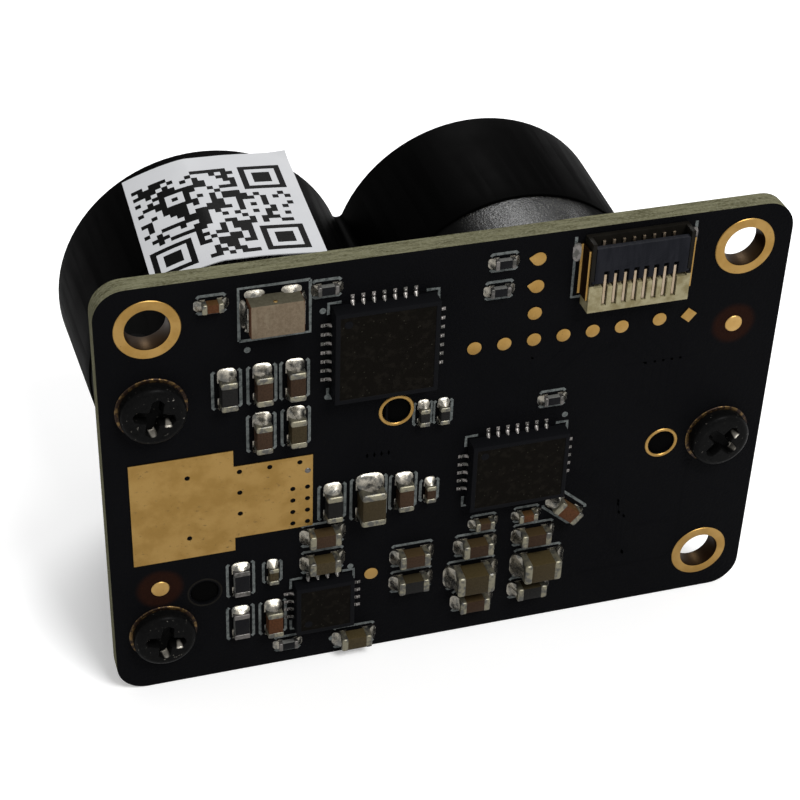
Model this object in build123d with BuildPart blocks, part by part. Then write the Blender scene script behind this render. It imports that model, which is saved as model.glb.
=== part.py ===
from build123d import *
import os
from math import atan2, cos, degrees, radians, sin, sqrt

# Lidar scanner module: a circuit board that carries a twin lens housing on its front face.
# Millimetres. +Y is the way the lenses look, +Z is the board's top edge, +X is to the right
# when the component side is looked at. The origin lies on the front rim, midway between the
# two lens axes, which is where distances are measured from.

# ---- driving dimensions ----
board_w = 33.6
board_h = 23.6
board_t = 1.0
board_corner_r = 1.5
board_shift = 0.62          # board centre, to the right of the middle of the two lenses

lens_pitch = 15.15          # between the transmit and the receive axis
hood_h = 8.2                # visible length of the lens barrel
base_h = 9.3                # base housing, from the board to the lens barrel

rim_r = 7.9                 # lens barrel, outside, at the front rim
hood_back_r = 7.6           # lens barrel, outside, at its joint with the base
base_top_r = 7.5            # base tower, outside, at that joint
base_foot_r = 7.26          # base tower, outside, at the board
hood_waist_h = 5.7          # web between the two barrels
base_waist_h = 5.5
waist_fillet_r = 0.25

# lens barrel, inside
rim_bore_r = 6.9
rim_edge = 0.2
ring_recess = 1.4           # rim to the retaining ring
lens_ring_t = 1.2
lens_ring_bore_r = 5.7
spanner_slot_w = 1.0
spanner_slot_depth = 0.5
lens_r = 6.4
lens_edge_t = 1.8
lens_crown = 1.5
lens_dome_r = 5.6           # radius of the curved zone, inside the ring's bore
lens_clearance = 0.05
ring_clearance = 0.02       # retaining ring in its bore
aperture_r = 5.5
spigot_r = 6.5
spigot_h = 1.5
spigot_clearance = 0.03

# base housing, inside
floor_t = 1.4
cavity_r = 6.2
filter_shelf_rise = 3.2     # above the housing floor
filter_shelf_t = 1.0
filter_shelf_bore_r = 4.2
filter_shelf_bite = 0.05    # into the tower's wall
filter_t = 0.8
filter_clearance = 0.1
window_margin = 0.35        # floor opening round the emitter and the sensor
flange_edge_gap = 0.9       # flange to the board's left and right edges
flange_h = 12.6
flange_corner_r = 1.2

# fixings
hole_r = 1.05               # mounting hole
hole_side_inset = 2.4
hole_top_inset = 2.2
hole_bottom_inset = 2.5
ring_r = 1.53
copper_t = 0.05
screw_r = 1.0
screw_l = 3.5
screw_head_r = 1.55
screw_head_h = 0.75
screw_head_round = 0.3
recess_l = 2.0
recess_w = 0.6
recess_depth = 0.5
screw_hole_clearance = 0.15
screw_land_r = 1.7
boss_foot_r = 1.75
boss_top_r = 1.25
boss_h = 3.4
pilot_extra = 0.3
screw_side_inset = 2.4
upper_screw_z = 5.25
lower_screw_z = -8.4
side_screw_z = -1.55
pin_r = 0.65
pin_hole_clearance = 0.06
pin_ring_w = 0.17
pin_recess = 0.1            # pins end just below the component face

# optoelectronics on the board's front face
emitter_size = (3.0, 2.4, 1.1)
sensor_size = (3.4, 2.8, 0.9)
sensor_glass_size = (2.8, 2.2, 0.35)

# label on the transmit side
label_t = 0.12
label_gap = 0.02
label_rim_gap = 1.2
label_l = 8.7
label_start_deg = 122.3
label_sweep_deg = 63.5

# flat cable socket
socket_x = 8.7
socket_edge_gap = 0.35      # mouth to the board's top edge
socket_w = 5.1
socket_l = 3.75
socket_h = 0.95
socket_floor_t = 0.25
socket_block_l = 1.35       # solid rear part that holds the contacts
socket_side_t = 0.2
cable_gap = 0.32            # height of the flat cable's slot
contact_count = 8
contact_pitch = 0.5
contact_w = 0.2
contact_t = 0.1
contact_slot_clearance = 0.03
contact_tail_l = 0.3
contact_spine_back = 0.35
contact_spine_l = 0.3
contact_tip_gap = 0.25
contact_overhang = 0.8      # upper beams past the rear block, in the flap's slots
flap_clearance = 0.03
flap_t = 0.3
flap_lip = 0.28             # mouth to the flap's free edge
flap_slot_clearance = 0.06  # beam tips to the ends of the flap's slots
pivot_gap = 0.3             # rear block to the flap's hinge line
pivot_r = 0.14
pivot_clearance = 0.03
pivot_l = 0.12
nail_t = 0.12
nail_l = 2.7
nail_h = 0.85
nail_back = 0.65
nail_foot_w = 0.12

# packages
chip_skin = 0.03            # end caps stand proud of the ceramic
lead_w = 0.22
lead_reach = 0.4
lead_h = 0.18
lead_pitch = 0.5
controller_size = (5.0, 5.0, 0.85)
controller_leads = (7, 7)
processor_size = (5.0, 4.0, 0.85)
processor_leads = (7, 5)
regulator_size = (3.0, 3.0, 0.75)
regulator_leads = (4, 4)
inductor_size = (2.5, 1.7, 1.0)
inductor_round = 0.1
terminal_t = 0.12
terminal_w = 1.3
terminal_h = 0.8
solder_run = 0.28
solder_rise_share = 0.6     # of the chip's height

# Places on the component side are drawn for this board and spread with it.
drawn_w = 33.6
drawn_h = 23.6
controller_at = (-3.5, 7.0)
processor_at = (3.5, -1.35)
regulator_at = (-6.3, -8.05)
inductor_at = (-8.7, 9.8)

# Chips: centre x, centre z, turn in degrees from lying along X.
small_capacitor_places = [
    (-11.5, 10.5, 0),
    (-1.4, 2.65, 90),
    (-0.4, 2.6, 90),
    (-0.9, -2.1, 90),
    (2.05, -4.75, 0),
    (4.35, -4.7, 0),
    (-8.85, -5.65, 90),
]
medium_capacitor_places = [
    (-10.9, 5.75, 90),
    (-9.25, 5.75, 90),
    (-7.7, 5.75, 90),
    (-9.3, 3.0, 90),
    (-7.65, 3.05, 90),
    (-5.85, -1.85, 90),
    (-2.25, -1.9, 90),
    (-6.3, -3.75, 0),
    (-6.3, -5.45, 0),
    (-1.65, -6.05, 0),
    (-1.65, -7.75, 0),
    (1.7, -6.1, 0),
    (4.8, -6.05, 0),
    (1.7, -9.8, 0),
    (4.8, -9.6, 0),
    (-8.85, -8.65, 90),
    (-4.6, -10.85, 0),
    (6.4, -4.65, -42),
]
large_capacitor_places = [
    (-4.0, -1.95, 90),
    (1.55, -8.0, 0),
    (5.15, -7.95, 0),
]
small_resistor_places = [
    (-6.2, 10.5, 0),
    (2.2, 10.6, 0),
    (2.05, 9.1, 0),
    (5.2, 2.35, 0),
    (-8.1, -10.55, 0),
]
large_resistor_places = [
    (-10.45, -5.8, 90),
    (-10.5, -8.6, 90),
]
test_point_r = 0.36
test_point_column = [(3.91, 10.5), (3.91, 9.0), (3.91, 7.5)]
test_point_row = [(1.0 + 1.49 * step, 6.0) for step in range(6)]
test_point_singles = [(10.4, 6.1), (11.92, 6.1), (-3.77, -6.89)]
fiducial_r = 0.45
fiducial_places = [(14.42, 5.18), (-14.43, -5.54)]
pin_places = [(-2.72, 3.05), (11.37, -1.55), (-12.25, -6.26)]

# gold heat pad: a wide block by the left edge and a narrower tongue under the laser
pad_block = (-15.65, -10.68, -3.86, 2.2)
pad_tongue = (-10.68, -6.82, -3.08, 1.25)
via_r = 0.13
via_places = [
    (-12.9, 1.0),
    (-12.9, -2.65),
    (-10.4, 0.9),
    (-10.4, -0.35),
    (-10.4, -1.63),
    (-8.93, 0.9),
    (-7.46, 0.9),
] + [(x, -0.65 - 0.71 * step) for x in (-7.81, -7.08) for step in range(4)]

# ---- worked out from the above ----
lens_x = lens_pitch / 2
split_y = -hood_h
board_front_y = split_y - base_h
board_back_y = board_front_y - board_t
floor_top_y = board_front_y + floor_t
ring_y = -ring_recess
lens_front_y = ring_y - lens_ring_t
lens_back_y = lens_front_y - lens_edge_t
shelf_top_y = floor_top_y + filter_shelf_rise
flange_w = board_w - 2 * flange_edge_gap
spread_x = board_w / drawn_w
spread_z = board_h / drawn_h
socket_z = board_h / 2 - socket_edge_gap - socket_l
flap_pivot_v = socket_block_l + pivot_gap
flap_pivot_h = socket_h - flap_t / 2
window_tx = (emitter_size[0] + 2 * window_margin, emitter_size[1] + 2 * window_margin)
window_rx = (sensor_size[0] + 2 * window_margin, sensor_size[1] + 2 * window_margin)

ON_FACE = (Align.CENTER, Align.CENTER, Align.MIN)

# Component side of the board: local x is +X, local y is +Z, and its normal looks away from the lenses.
back_face = Plane(origin=(board_shift, board_back_y, 0), x_dir=(1, 0, 0), z_dir=(0, -1, 0))
front_face = back_face.offset(-board_t)
# Socket, seen from its side: local x runs from its rear to its mouth, local y away from the board.
socket_side = Plane(
    origin=(board_shift + socket_x, board_back_y, socket_z), x_dir=(0, 0, 1), z_dir=(1, 0, 0)
)
socket_face = Plane(
    origin=(board_shift + socket_x, board_back_y, socket_z), x_dir=(1, 0, 0), z_dir=(0, -1, 0)
)

mount_holes = [
    (-board_w / 2 + hole_side_inset, board_h / 2 - hole_top_inset),
    (board_w / 2 - hole_side_inset, board_h / 2 - hole_top_inset),
    (board_w / 2 - hole_side_inset, -board_h / 2 + hole_bottom_inset),
]
screw_places = [
    (-board_w / 2 + screw_side_inset, upper_screw_z),
    (-board_w / 2 + screw_side_inset, lower_screw_z),
    (board_w / 2 - screw_side_inset, side_screw_z),
]


def across(y):
    """Plane across the lens axes at depth y, with its normal towards the board."""
    return Plane.XZ.offset(-y)


def spread(places):
    """Drawn places, moved apart with the board."""
    return [(x * spread_x, z * spread_z) for x, z in places]


def chip_spots(places, rise=0.0):
    """Drawn places with a turn, as locations on the component side."""
    return [Location((x * spread_x, z * spread_z, rise), (0, 0, turn)) for x, z, turn in places]


def axis_at(x):
    """Lens axis at x."""
    return Axis((x, 0, 0), (0, 1, 0))


def save(part, name):
    """Label one sub-part and write its STEP file."""
    part.label = name
    export_step(part, f"parts/{name}.step")


def twin_outline(plane, radius, waist_h):
    """Two circles joined by a waist, with the waist's four inner corners rounded."""
    with BuildSketch(plane) as outline:
        with Locations((-lens_x, 0), (lens_x, 0)):
            Circle(radius)
        Rectangle(lens_pitch, waist_h)
        waist_corners = outline.vertices().filter_by(lambda corner: abs(corner.X) < lens_x / 2)
        fillet(waist_corners, waist_fillet_r)
    return outline.sketch


os.makedirs("parts", exist_ok=True)

# ---- circuit board and its copper ----
with BuildPart() as circuit_board:
    with BuildSketch(back_face):
        RectangleRounded(board_w, board_h, board_corner_r)
    extrude(amount=-board_t)
    with BuildSketch(back_face):
        with Locations(*mount_holes):
            Circle(hole_r)
        with Locations(*screw_places):
            Circle(screw_r + screw_hole_clearance)
        with Locations(*spread(pin_places)):
            Circle(pin_r + pin_hole_clearance)
    extrude(amount=-board_t, mode=Mode.SUBTRACT)
save(circuit_board.part, "circuit_board")

with BuildPart() as mounting_hole_rings:
    for face, outward in ((back_face, copper_t), (front_face, -copper_t)):
        with BuildSketch(face):
            with Locations(*mount_holes):
                Circle(ring_r)
                Circle(hole_r, mode=Mode.SUBTRACT)
        extrude(amount=outward)
save(mounting_hole_rings.part, "mounting_hole_rings")

with BuildPart() as screw_lands:
    with BuildSketch(back_face):
        with Locations(*screw_places):
            Circle(screw_land_r)
            Circle(screw_r + screw_hole_clearance, mode=Mode.SUBTRACT)
    extrude(amount=copper_t)
save(screw_lands.part, "screw_lands")

with BuildPart() as locating_hole_rings:
    with BuildSketch(back_face):
        with Locations(*spread(pin_places[:2])):
            Circle(pin_r + pin_hole_clearance + pin_ring_w)
            Circle(pin_r + pin_hole_clearance, mode=Mode.SUBTRACT)
    extrude(amount=copper_t)
save(locating_hole_rings.part, "locating_hole_rings")

with BuildPart() as heat_spreading_pad:
    with BuildSketch(back_face):
        for left, right, low, high in (pad_block, pad_tongue):
            with Locations(((left + right) / 2 * spread_x, (low + high) / 2 * spread_z)):
                Rectangle((right - left) * spread_x, (high - low) * spread_z)
        with Locations(*spread(via_places)):
            Circle(via_r, mode=Mode.SUBTRACT)
    extrude(amount=copper_t)
save(heat_spreading_pad.part, "heat_spreading_pad")

with BuildPart() as test_points:
    with BuildSketch(back_face):
        with Locations(*spread(test_point_column + test_point_row + test_point_singles)):
            Circle(test_point_r)
    extrude(amount=copper_t)
save(test_points.part, "test_points")

with BuildPart() as fiducial_marks:
    with BuildSketch(back_face):
        with Locations(*spread(fiducial_places)):
            Circle(fiducial_r)
    extrude(amount=copper_t)
save(fiducial_marks.part, "fiducial_marks")

# ---- base housing: flange with bosses and locating pins, two towers, and a floor ----
base_draft = degrees(atan2(base_top_r - base_foot_r, base_h))
with BuildPart() as base_housing:
    tower_outline = twin_outline(across(split_y), base_top_r, base_waist_h)
    extrude(tower_outline, amount=base_h, taper=base_draft)
    with BuildSketch(front_face):
        RectangleRounded(flange_w, flange_h, flange_corner_r)
        for x, z in screw_places:
            with Locations((x, z / 2)):
                Rectangle(2 * boss_foot_r, abs(z))
            with Locations((x, z)):
                Circle(boss_foot_r)
    extrude(amount=-floor_t)
    for x, z in screw_places:
        with Locations(front_face * Location((x, z, -boss_h))):
            Cone(boss_top_r, boss_foot_r, boss_h, align=ON_FACE)
    # inside of the towers, above the floor
    with BuildSketch(across(split_y)):
        with Locations((-lens_x, 0), (lens_x, 0)):
            Circle(cavity_r)
    extrude(amount=base_h - floor_t, mode=Mode.SUBTRACT)
    with BuildSketch(across(split_y)):
        with Locations((-lens_x, 0), (lens_x, 0)):
            Circle(spigot_r + spigot_clearance)
    extrude(amount=spigot_h + spigot_clearance, mode=Mode.SUBTRACT)
    # shelf for the receive filter
    with BuildSketch(across(shelf_top_y)):
        with Locations((lens_x, 0)):
            Circle(cavity_r + filter_shelf_bite)
            Circle(filter_shelf_bore_r, mode=Mode.SUBTRACT)
    extrude(amount=filter_shelf_t)
    # openings in the floor round the emitter and the sensor
    with BuildSketch(across(floor_top_y)):
        with Locations((-lens_x, 0)):
            Rectangle(*window_tx)
        with Locations((lens_x, 0)):
            Rectangle(*window_rx)
    extrude(amount=floor_t, mode=Mode.SUBTRACT)
    # screw pilots
    with BuildSketch(front_face):
        with Locations(*screw_places):
            Circle(screw_r)
    extrude(amount=-(screw_l - board_t + pilot_extra), mode=Mode.SUBTRACT)
    # locating pins, through the board
    with BuildSketch(front_face):
        with Locations(*spread(pin_places)):
            Circle(pin_r)
    extrude(amount=board_t - pin_recess)
save(base_housing.part, "base_housing")

# ---- lens barrel: one moulding that carries both lenses ----
hood_draft = degrees(atan2(rim_r - hood_back_r, hood_h))
with BuildPart() as lens_barrel:
    barrel_outline = twin_outline(across(0), rim_r, hood_waist_h)
    extrude(barrel_outline, amount=hood_h, taper=hood_draft)
    with BuildSketch(across(split_y)):
        with Locations((-lens_x, 0), (lens_x, 0)):
            Circle(spigot_r)
    extrude(amount=spigot_h)
    for radius, start_y, end_y in (
        (rim_bore_r, 0, lens_front_y),
        (lens_r + lens_clearance, lens_front_y, lens_back_y),
        (aperture_r, lens_back_y, split_y - spigot_h),
    ):
        with BuildSketch(across(start_y)):
            with Locations((-lens_x, 0), (lens_x, 0)):
                Circle(radius)
        extrude(amount=start_y - end_y, mode=Mode.SUBTRACT)
    rim_edges = lens_barrel.edges().group_by(Axis.Y)[-1]
    chamfer(rim_edges, rim_edge)
save(lens_barrel.part, "lens_barrel")

# ---- lenses, their rings, the filter ----
dome_sphere_r = (lens_dome_r**2 + lens_crown**2) / (2 * lens_crown)
dome_centre_y = lens_front_y + lens_crown - dome_sphere_r
dome_half_rise = sqrt(dome_sphere_r**2 - (lens_dome_r / 2) ** 2)
for name, x in (("transmit_lens", -lens_x), ("receive_lens", lens_x)):
    with BuildPart() as lens:
        with BuildSketch(Plane.XY.shift_origin((x, 0, 0))):
            with BuildLine():
                Polyline(
                    (0, lens_front_y + lens_crown),
                    (0, lens_back_y),
                    (lens_r, lens_back_y),
                    (lens_r, lens_front_y),
                    (lens_dome_r, lens_front_y),
                )
                ThreePointArc(
                    (lens_dome_r, lens_front_y),
                    (lens_dome_r / 2, dome_centre_y + dome_half_rise),
                    (0, lens_front_y + lens_crown),
                )
            make_face()
        revolve(axis=axis_at(x))
    save(lens.part, name)

for name, x in (("transmit_lens_ring", -lens_x), ("receive_lens_ring", lens_x)):
    with BuildPart() as lens_ring:
        with BuildSketch(across(ring_y)):
            with Locations((x, 0)):
                Circle(rim_bore_r - ring_clearance)
                Circle(lens_ring_bore_r, mode=Mode.SUBTRACT)
        extrude(amount=lens_ring_t)
        with BuildSketch(across(ring_y)):
            with Locations((x, 0)):
                Rectangle(2 * rim_bore_r + 1, spanner_slot_w)
        extrude(amount=spanner_slot_depth, mode=Mode.SUBTRACT)
    save(lens_ring.part, name)

with BuildPart() as receive_filter:
    with BuildSketch(across(shelf_top_y + filter_t)):
        with Locations((lens_x, 0)):
            Circle(cavity_r - filter_clearance)
    extrude(amount=filter_t)
save(receive_filter.part, "receive_filter")

# ---- laser emitter and light sensor, on the board's front face ----
with BuildPart(across(board_front_y)) as laser_emitter:
    with Locations((-lens_x, 0)):
        Box(*emitter_size, align=(Align.CENTER, Align.CENTER, Align.MAX))
save(laser_emitter.part, "laser_emitter")

with BuildPart(across(board_front_y)) as light_sensor:
    with Locations((lens_x, 0)):
        Box(*sensor_size, align=(Align.CENTER, Align.CENTER, Align.MAX))
save(light_sensor.part, "light_sensor")

with BuildPart(across(board_front_y + sensor_size[2])) as sensor_glass:
    with Locations((lens_x, 0)):
        Box(*sensor_glass_size, align=(Align.CENTER, Align.CENTER, Align.MAX))
save(sensor_glass.part, "sensor_glass")

# ---- label, rolled round the transmit side of the lens barrel and the base ----
hood_slope = (rim_r - hood_back_r) / hood_h
label_front_r = rim_r + label_gap - label_rim_gap * hood_slope
label_back_r = label_front_r - label_l * hood_slope
label_start = radians(label_start_deg)
label_plane = Plane(
    origin=(-lens_x, 0, 0),
    x_dir=(cos(label_start), 0, sin(label_start)),
    z_dir=(-sin(label_start), 0, cos(label_start)),
)
with BuildPart() as code_label:
    with BuildSketch(label_plane):
        with BuildLine():
            Polyline(
                (label_front_r, -label_rim_gap),
                (label_front_r + label_t, -label_rim_gap),
                (label_back_r + label_t, -label_rim_gap - label_l),
                (label_back_r, -label_rim_gap - label_l),
                close=True,
            )
        make_face()
    revolve(axis=axis_at(-lens_x), revolution_arc=label_sweep_deg)
save(code_label.part, "code_label")

# ---- screws: pan heads on the component side ----
with BuildPart(back_face.offset(copper_t)) as housing_screws:
    with Locations(*screw_places):
        Cylinder(screw_head_r, screw_head_h, align=ON_FACE)
    head_rims = housing_screws.edges().group_by(Axis.Y)[0]
    fillet(head_rims, screw_head_round)
    with Locations(*[(x, z, screw_head_h - recess_depth) for x, z in screw_places]):
        Box(recess_l, recess_w, recess_depth, align=ON_FACE, mode=Mode.SUBTRACT)
        Box(recess_w, recess_l, recess_depth, align=ON_FACE, mode=Mode.SUBTRACT)
    with Locations(*[(x, z, -screw_l) for x, z in screw_places]):
        Cylinder(screw_r, screw_l, align=ON_FACE)
save(housing_screws.part, "housing_screws")

# ---- flat cable socket with a flip lock ----
contact_steps = [(step - (contact_count - 1) / 2) * contact_pitch for step in range(contact_count)]
slot_w = contact_w + 2 * contact_slot_clearance
pocket_w = socket_w - 2 * socket_side_t
spine_end = contact_spine_back + contact_spine_l
beam_end = socket_block_l + contact_overhang
with BuildPart() as socket_housing:
    with BuildSketch(socket_face):
        Rectangle(socket_w, socket_l, align=(Align.CENTER, Align.MIN))
    extrude(amount=socket_h)
    # open top for the flap, and the cable's slot under it
    with BuildSketch(socket_side):
        with BuildLine():
            Polyline(
                (socket_block_l, socket_h),
                (socket_block_l, socket_floor_t + cable_gap),
                (spine_end, socket_floor_t + cable_gap),
                (spine_end, socket_floor_t),
                (socket_l, socket_floor_t),
                (socket_l, socket_h),
                close=True,
            )
        make_face()
    extrude(amount=pocket_w / 2, both=True, mode=Mode.SUBTRACT)
    # bearings for the flap's pivots
    with BuildSketch(socket_side):
        with Locations((flap_pivot_v, flap_pivot_h)):
            Circle(pivot_r + pivot_clearance)
    extrude(amount=pocket_w / 2 + pivot_l, both=True, mode=Mode.SUBTRACT)
    # one slot for each contact, open at the top and at the tail
    for step in contact_steps:
        with BuildSketch(socket_side.offset(step)):
            with Locations((contact_spine_back - contact_slot_clearance, 0)):
                Rectangle(
                    socket_block_l - contact_spine_back + contact_slot_clearance,
                    socket_h,
                    align=(Align.MIN, Align.MIN),
                )
            Rectangle(
                contact_spine_back, contact_t + contact_slot_clearance, align=(Align.MIN, Align.MIN)
            )
        extrude(amount=slot_w / 2, both=True, mode=Mode.SUBTRACT)
save(socket_housing.part, "socket_housing")

with BuildPart() as socket_contacts:
    for step in contact_steps:
        with BuildSketch(socket_side.offset(step)):
            with BuildLine():
                Polyline(
                    (-contact_tail_l, 0),
                    (spine_end, 0),
                    (spine_end, socket_floor_t),
                    (socket_l - contact_tip_gap, socket_floor_t),
                    (socket_l - contact_tip_gap, socket_floor_t + contact_t),
                    (spine_end, socket_floor_t + contact_t),
                    (spine_end, socket_h - 2 * contact_t),
                    (beam_end, socket_h - 2 * contact_t),
                    (beam_end, socket_h - contact_t),
                    (contact_spine_back, socket_h - contact_t),
                    (contact_spine_back, contact_t),
                    (-contact_tail_l, contact_t),
                    close=True,
                )
            make_face()
        extrude(amount=contact_w / 2, both=True)
save(socket_contacts.part, "socket_contacts")

with BuildPart() as socket_nails:
    for side in (-1, 1):
        with Locations(socket_face * Location((side * (socket_w + nail_t) / 2, nail_back, 0))):
            Box(nail_t, nail_l, nail_h, align=(Align.CENTER, Align.MIN, Align.MIN))
        foot_x = side * ((socket_w + nail_foot_w) / 2 + nail_t)
        with Locations(socket_face * Location((foot_x, nail_back, 0))):
            Box(nail_foot_w, nail_l, nail_t, align=(Align.CENTER, Align.MIN, Align.MIN))
save(socket_nails.part, "socket_nails")

flap_w = pocket_w - 2 * flap_clearance
flap_end = socket_l - flap_lip
with BuildPart() as socket_flap:
    with BuildSketch(socket_side):
        with Locations((flap_pivot_v, flap_pivot_h)):
            Circle(flap_t / 2)
            Rectangle(flap_end - flap_pivot_v, flap_t, align=(Align.MIN, Align.CENTER))
    extrude(amount=flap_w / 2, both=True)
    with BuildSketch(socket_side):
        with Locations((flap_pivot_v, flap_pivot_h)):
            Circle(pivot_r)
    extrude(amount=flap_w / 2 + pivot_l, both=True)
    # a slot for each contact's upper beam, open at the hinge end
    for step in contact_steps:
        with BuildSketch(socket_side.offset(step)):
            with Locations((beam_end + flap_slot_clearance, flap_pivot_h)):
                Rectangle(
                    beam_end + flap_slot_clearance - socket_block_l,
                    2 * flap_t,
                    align=(Align.MAX, Align.CENTER),
                )
        extrude(amount=slot_w / 2, both=True, mode=Mode.SUBTRACT)
save(socket_flap.part, "socket_flap")

# ---- packages with leads on four sides ----
for name, size, leads, place in (
    ("main_controller", controller_size, controller_leads, controller_at),
    ("signal_processor", processor_size, processor_leads, processor_at),
    ("voltage_regulator", regulator_size, regulator_leads, regulator_at),
):
    centre = (place[0] * spread_x, place[1] * spread_z)
    with BuildPart(back_face) as package:
        with Locations(centre):
            Box(*size, align=ON_FACE)
    save(package.part, name)

    with BuildPart(back_face) as package_leads:
        with Locations(centre):
            with GridLocations(lead_pitch, size[1] + lead_reach, leads[0], 2):
                Box(lead_w, lead_reach, lead_h, align=ON_FACE)
            with GridLocations(size[0] + lead_reach, lead_pitch, 2, leads[1]):
                Box(lead_reach, lead_w, lead_h, align=ON_FACE)
    save(package_leads.part, name + "_leads")

# ---- power inductor ----
inductor_centre = (inductor_at[0] * spread_x, inductor_at[1] * spread_z)
with BuildPart(back_face) as power_inductor:
    with Locations(inductor_centre):
        Box(*inductor_size, align=ON_FACE)
    fillet(power_inductor.edges().group_by(Axis.Y)[0], inductor_round)
save(power_inductor.part, "power_inductor")

with BuildPart(back_face) as inductor_terminals:
    with Locations(inductor_centre):
        with GridLocations(inductor_size[0] + terminal_t, 1, 2, 1):
            Box(terminal_t, terminal_w, terminal_h, align=ON_FACE)
save(inductor_terminals.part, "inductor_terminals")

# ---- chip capacitors and resistors, each a body between two end caps ----
chip_kinds = (
    ("small_capacitor", (1.0, 0.5, 0.5), 0.25, small_capacitor_places),
    ("medium_capacitor", (1.6, 0.8, 0.75), 0.35, medium_capacitor_places),
    ("large_capacitor", (2.0, 1.25, 1.15), 0.45, large_capacitor_places),
    ("small_resistor", (1.0, 0.5, 0.35), 0.2, small_resistor_places),
    ("large_resistor", (1.6, 0.8, 0.45), 0.3, large_resistor_places),
)
for name, (length, width, height), cap, places in chip_kinds:
    with BuildPart(back_face) as bodies:
        with Locations(*chip_spots(places, chip_skin)):
            Box(length - 2 * cap, width - 2 * chip_skin, height - 2 * chip_skin, align=ON_FACE)
    save(bodies.part, name + "_bodies")

    with BuildPart(back_face) as end_caps:
        with Locations(*chip_spots(places)):
            with GridLocations(length - cap, 1, 2, 1):
                Box(cap, width, height, align=ON_FACE)
    save(end_caps.part, name + "_ends")

with BuildPart(back_face) as solder_joints:
    for name, (length, width, height), cap, places in chip_kinds:
        with BuildPart(mode=Mode.PRIVATE) as joint:
            with BuildSketch(Plane.XZ.shift_origin((length / 2, 0, 0))):
                with BuildLine():
                    Polyline((0, 0), (solder_run, 0), (0, height * solder_rise_share), close=True)
                make_face()
            extrude(amount=width / 2, both=True)
            mirror(about=Plane.YZ)
        with Locations(*chip_spots(places)):
            add(joint.part)
save(solder_joints.part, "solder_joints")
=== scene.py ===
from math import asin, atan2, cos, degrees, hypot, pi, radians, sin, sqrt
from random import Random

import bmesh
import bpy
from mathutils import Matrix, Vector


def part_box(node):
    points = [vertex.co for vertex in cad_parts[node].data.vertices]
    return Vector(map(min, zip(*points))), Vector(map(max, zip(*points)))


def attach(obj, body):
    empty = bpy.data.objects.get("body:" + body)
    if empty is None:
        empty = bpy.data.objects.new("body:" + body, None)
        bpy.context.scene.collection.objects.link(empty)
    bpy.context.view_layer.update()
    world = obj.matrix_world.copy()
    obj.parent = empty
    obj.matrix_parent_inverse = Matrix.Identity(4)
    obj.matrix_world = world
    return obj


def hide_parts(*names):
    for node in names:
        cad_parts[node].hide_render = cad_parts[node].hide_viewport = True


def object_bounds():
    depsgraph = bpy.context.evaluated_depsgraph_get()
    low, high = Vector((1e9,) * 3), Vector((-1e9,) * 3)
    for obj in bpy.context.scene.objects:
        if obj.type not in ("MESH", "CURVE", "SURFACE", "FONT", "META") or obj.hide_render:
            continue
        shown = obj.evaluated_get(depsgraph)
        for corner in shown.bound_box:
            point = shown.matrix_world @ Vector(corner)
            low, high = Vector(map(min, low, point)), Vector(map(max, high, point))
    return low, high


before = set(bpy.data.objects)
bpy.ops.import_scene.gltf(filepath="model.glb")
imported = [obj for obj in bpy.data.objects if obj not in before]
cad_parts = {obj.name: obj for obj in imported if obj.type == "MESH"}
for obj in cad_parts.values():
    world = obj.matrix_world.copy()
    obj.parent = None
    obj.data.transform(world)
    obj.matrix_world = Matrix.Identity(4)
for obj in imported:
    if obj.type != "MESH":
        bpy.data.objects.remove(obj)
cad_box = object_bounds()

# Pieces on the component side are made in board millimetres: x to the right, y up the board,
# z away from it, from the middle of its component face. Pieces round a lens axis are made
# with z along that axis, from the front rim. Both are placed in the part's frame at the end.
MM = 0.001


def placed(x, y, z, lean):
    """Place for a piece made in millimetres: leant about x by an angle in degrees, then moved."""
    return Matrix.Translation((x, y, z)) @ Matrix.Rotation(radians(lean), 4, "X") @ Matrix.Scale(MM, 4)


def along_axis(node, y=0.0):
    """Place of pieces turned round the axis through a node's middle, with z the way the lenses look."""
    low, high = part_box(node)
    middle = (low + high) / 2
    return placed(middle.x, y, middle.z, -90)


board_low, board_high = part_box("circuit_board")
board_middle = (board_low + board_high) / 2
on_board = placed(board_middle.x, board_low.y, board_middle.z, 90)
off_board = on_board.inverted()
board_t = (board_high.y - board_low.y) / MM
board_w = (board_high.x - board_low.x) / MM
board_front = board_high.y / MM
board_h = (board_high.z - board_low.z) / MM


# ==== Node trees ====
class Wire:
    """An output socket. Sums and comparisons of wires add Math nodes to their tree."""

    def __init__(self, tree, socket):
        self.tree, self.socket = tree, socket

    def math(self, operation, *values, clamp=False):
        settings = {"operation": operation, "use_clamp": clamp}
        return self.tree.node("ShaderNodeMath", settings, dict(enumerate(values)))

    def __add__(self, other):
        return self.math("ADD", self, other)

    def __sub__(self, other):
        return self.math("SUBTRACT", self, other)

    def __rsub__(self, other):
        return self.math("SUBTRACT", other, self)

    def __mul__(self, other):
        return self.math("MULTIPLY", self, other)

    def __truediv__(self, other):
        return self.math("DIVIDE", self, other)

    def __lt__(self, other):
        return self.math("LESS_THAN", self, other)

    def __gt__(self, other):
        return self.math("GREATER_THAN", self, other)

    def __abs__(self):
        return self.math("ABSOLUTE", self)

    __radd__ = __add__
    __rmul__ = __mul__

    def clamped(self):
        return self.math("ADD", self, 0, clamp=True)


class Tree:
    """A node tree that is built up one node at a time."""

    def __init__(self, tree):
        self.tree = tree

    def node(self, kind, settings=None, inputs=None, out=0):
        """Add a node, set it up, then fill its sockets with values or wires."""
        made = self.tree.nodes.new(kind)
        for name, value in (settings or {}).items():
            setattr(made, name, value)
        for key, value in (inputs or {}).items():
            if isinstance(value, Wire):
                self.tree.links.new(value.socket, made.inputs[key])
            else:
                made.inputs[key].default_value = value
        return Wire(self, made.outputs[out]) if len(made.outputs) else None


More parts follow.
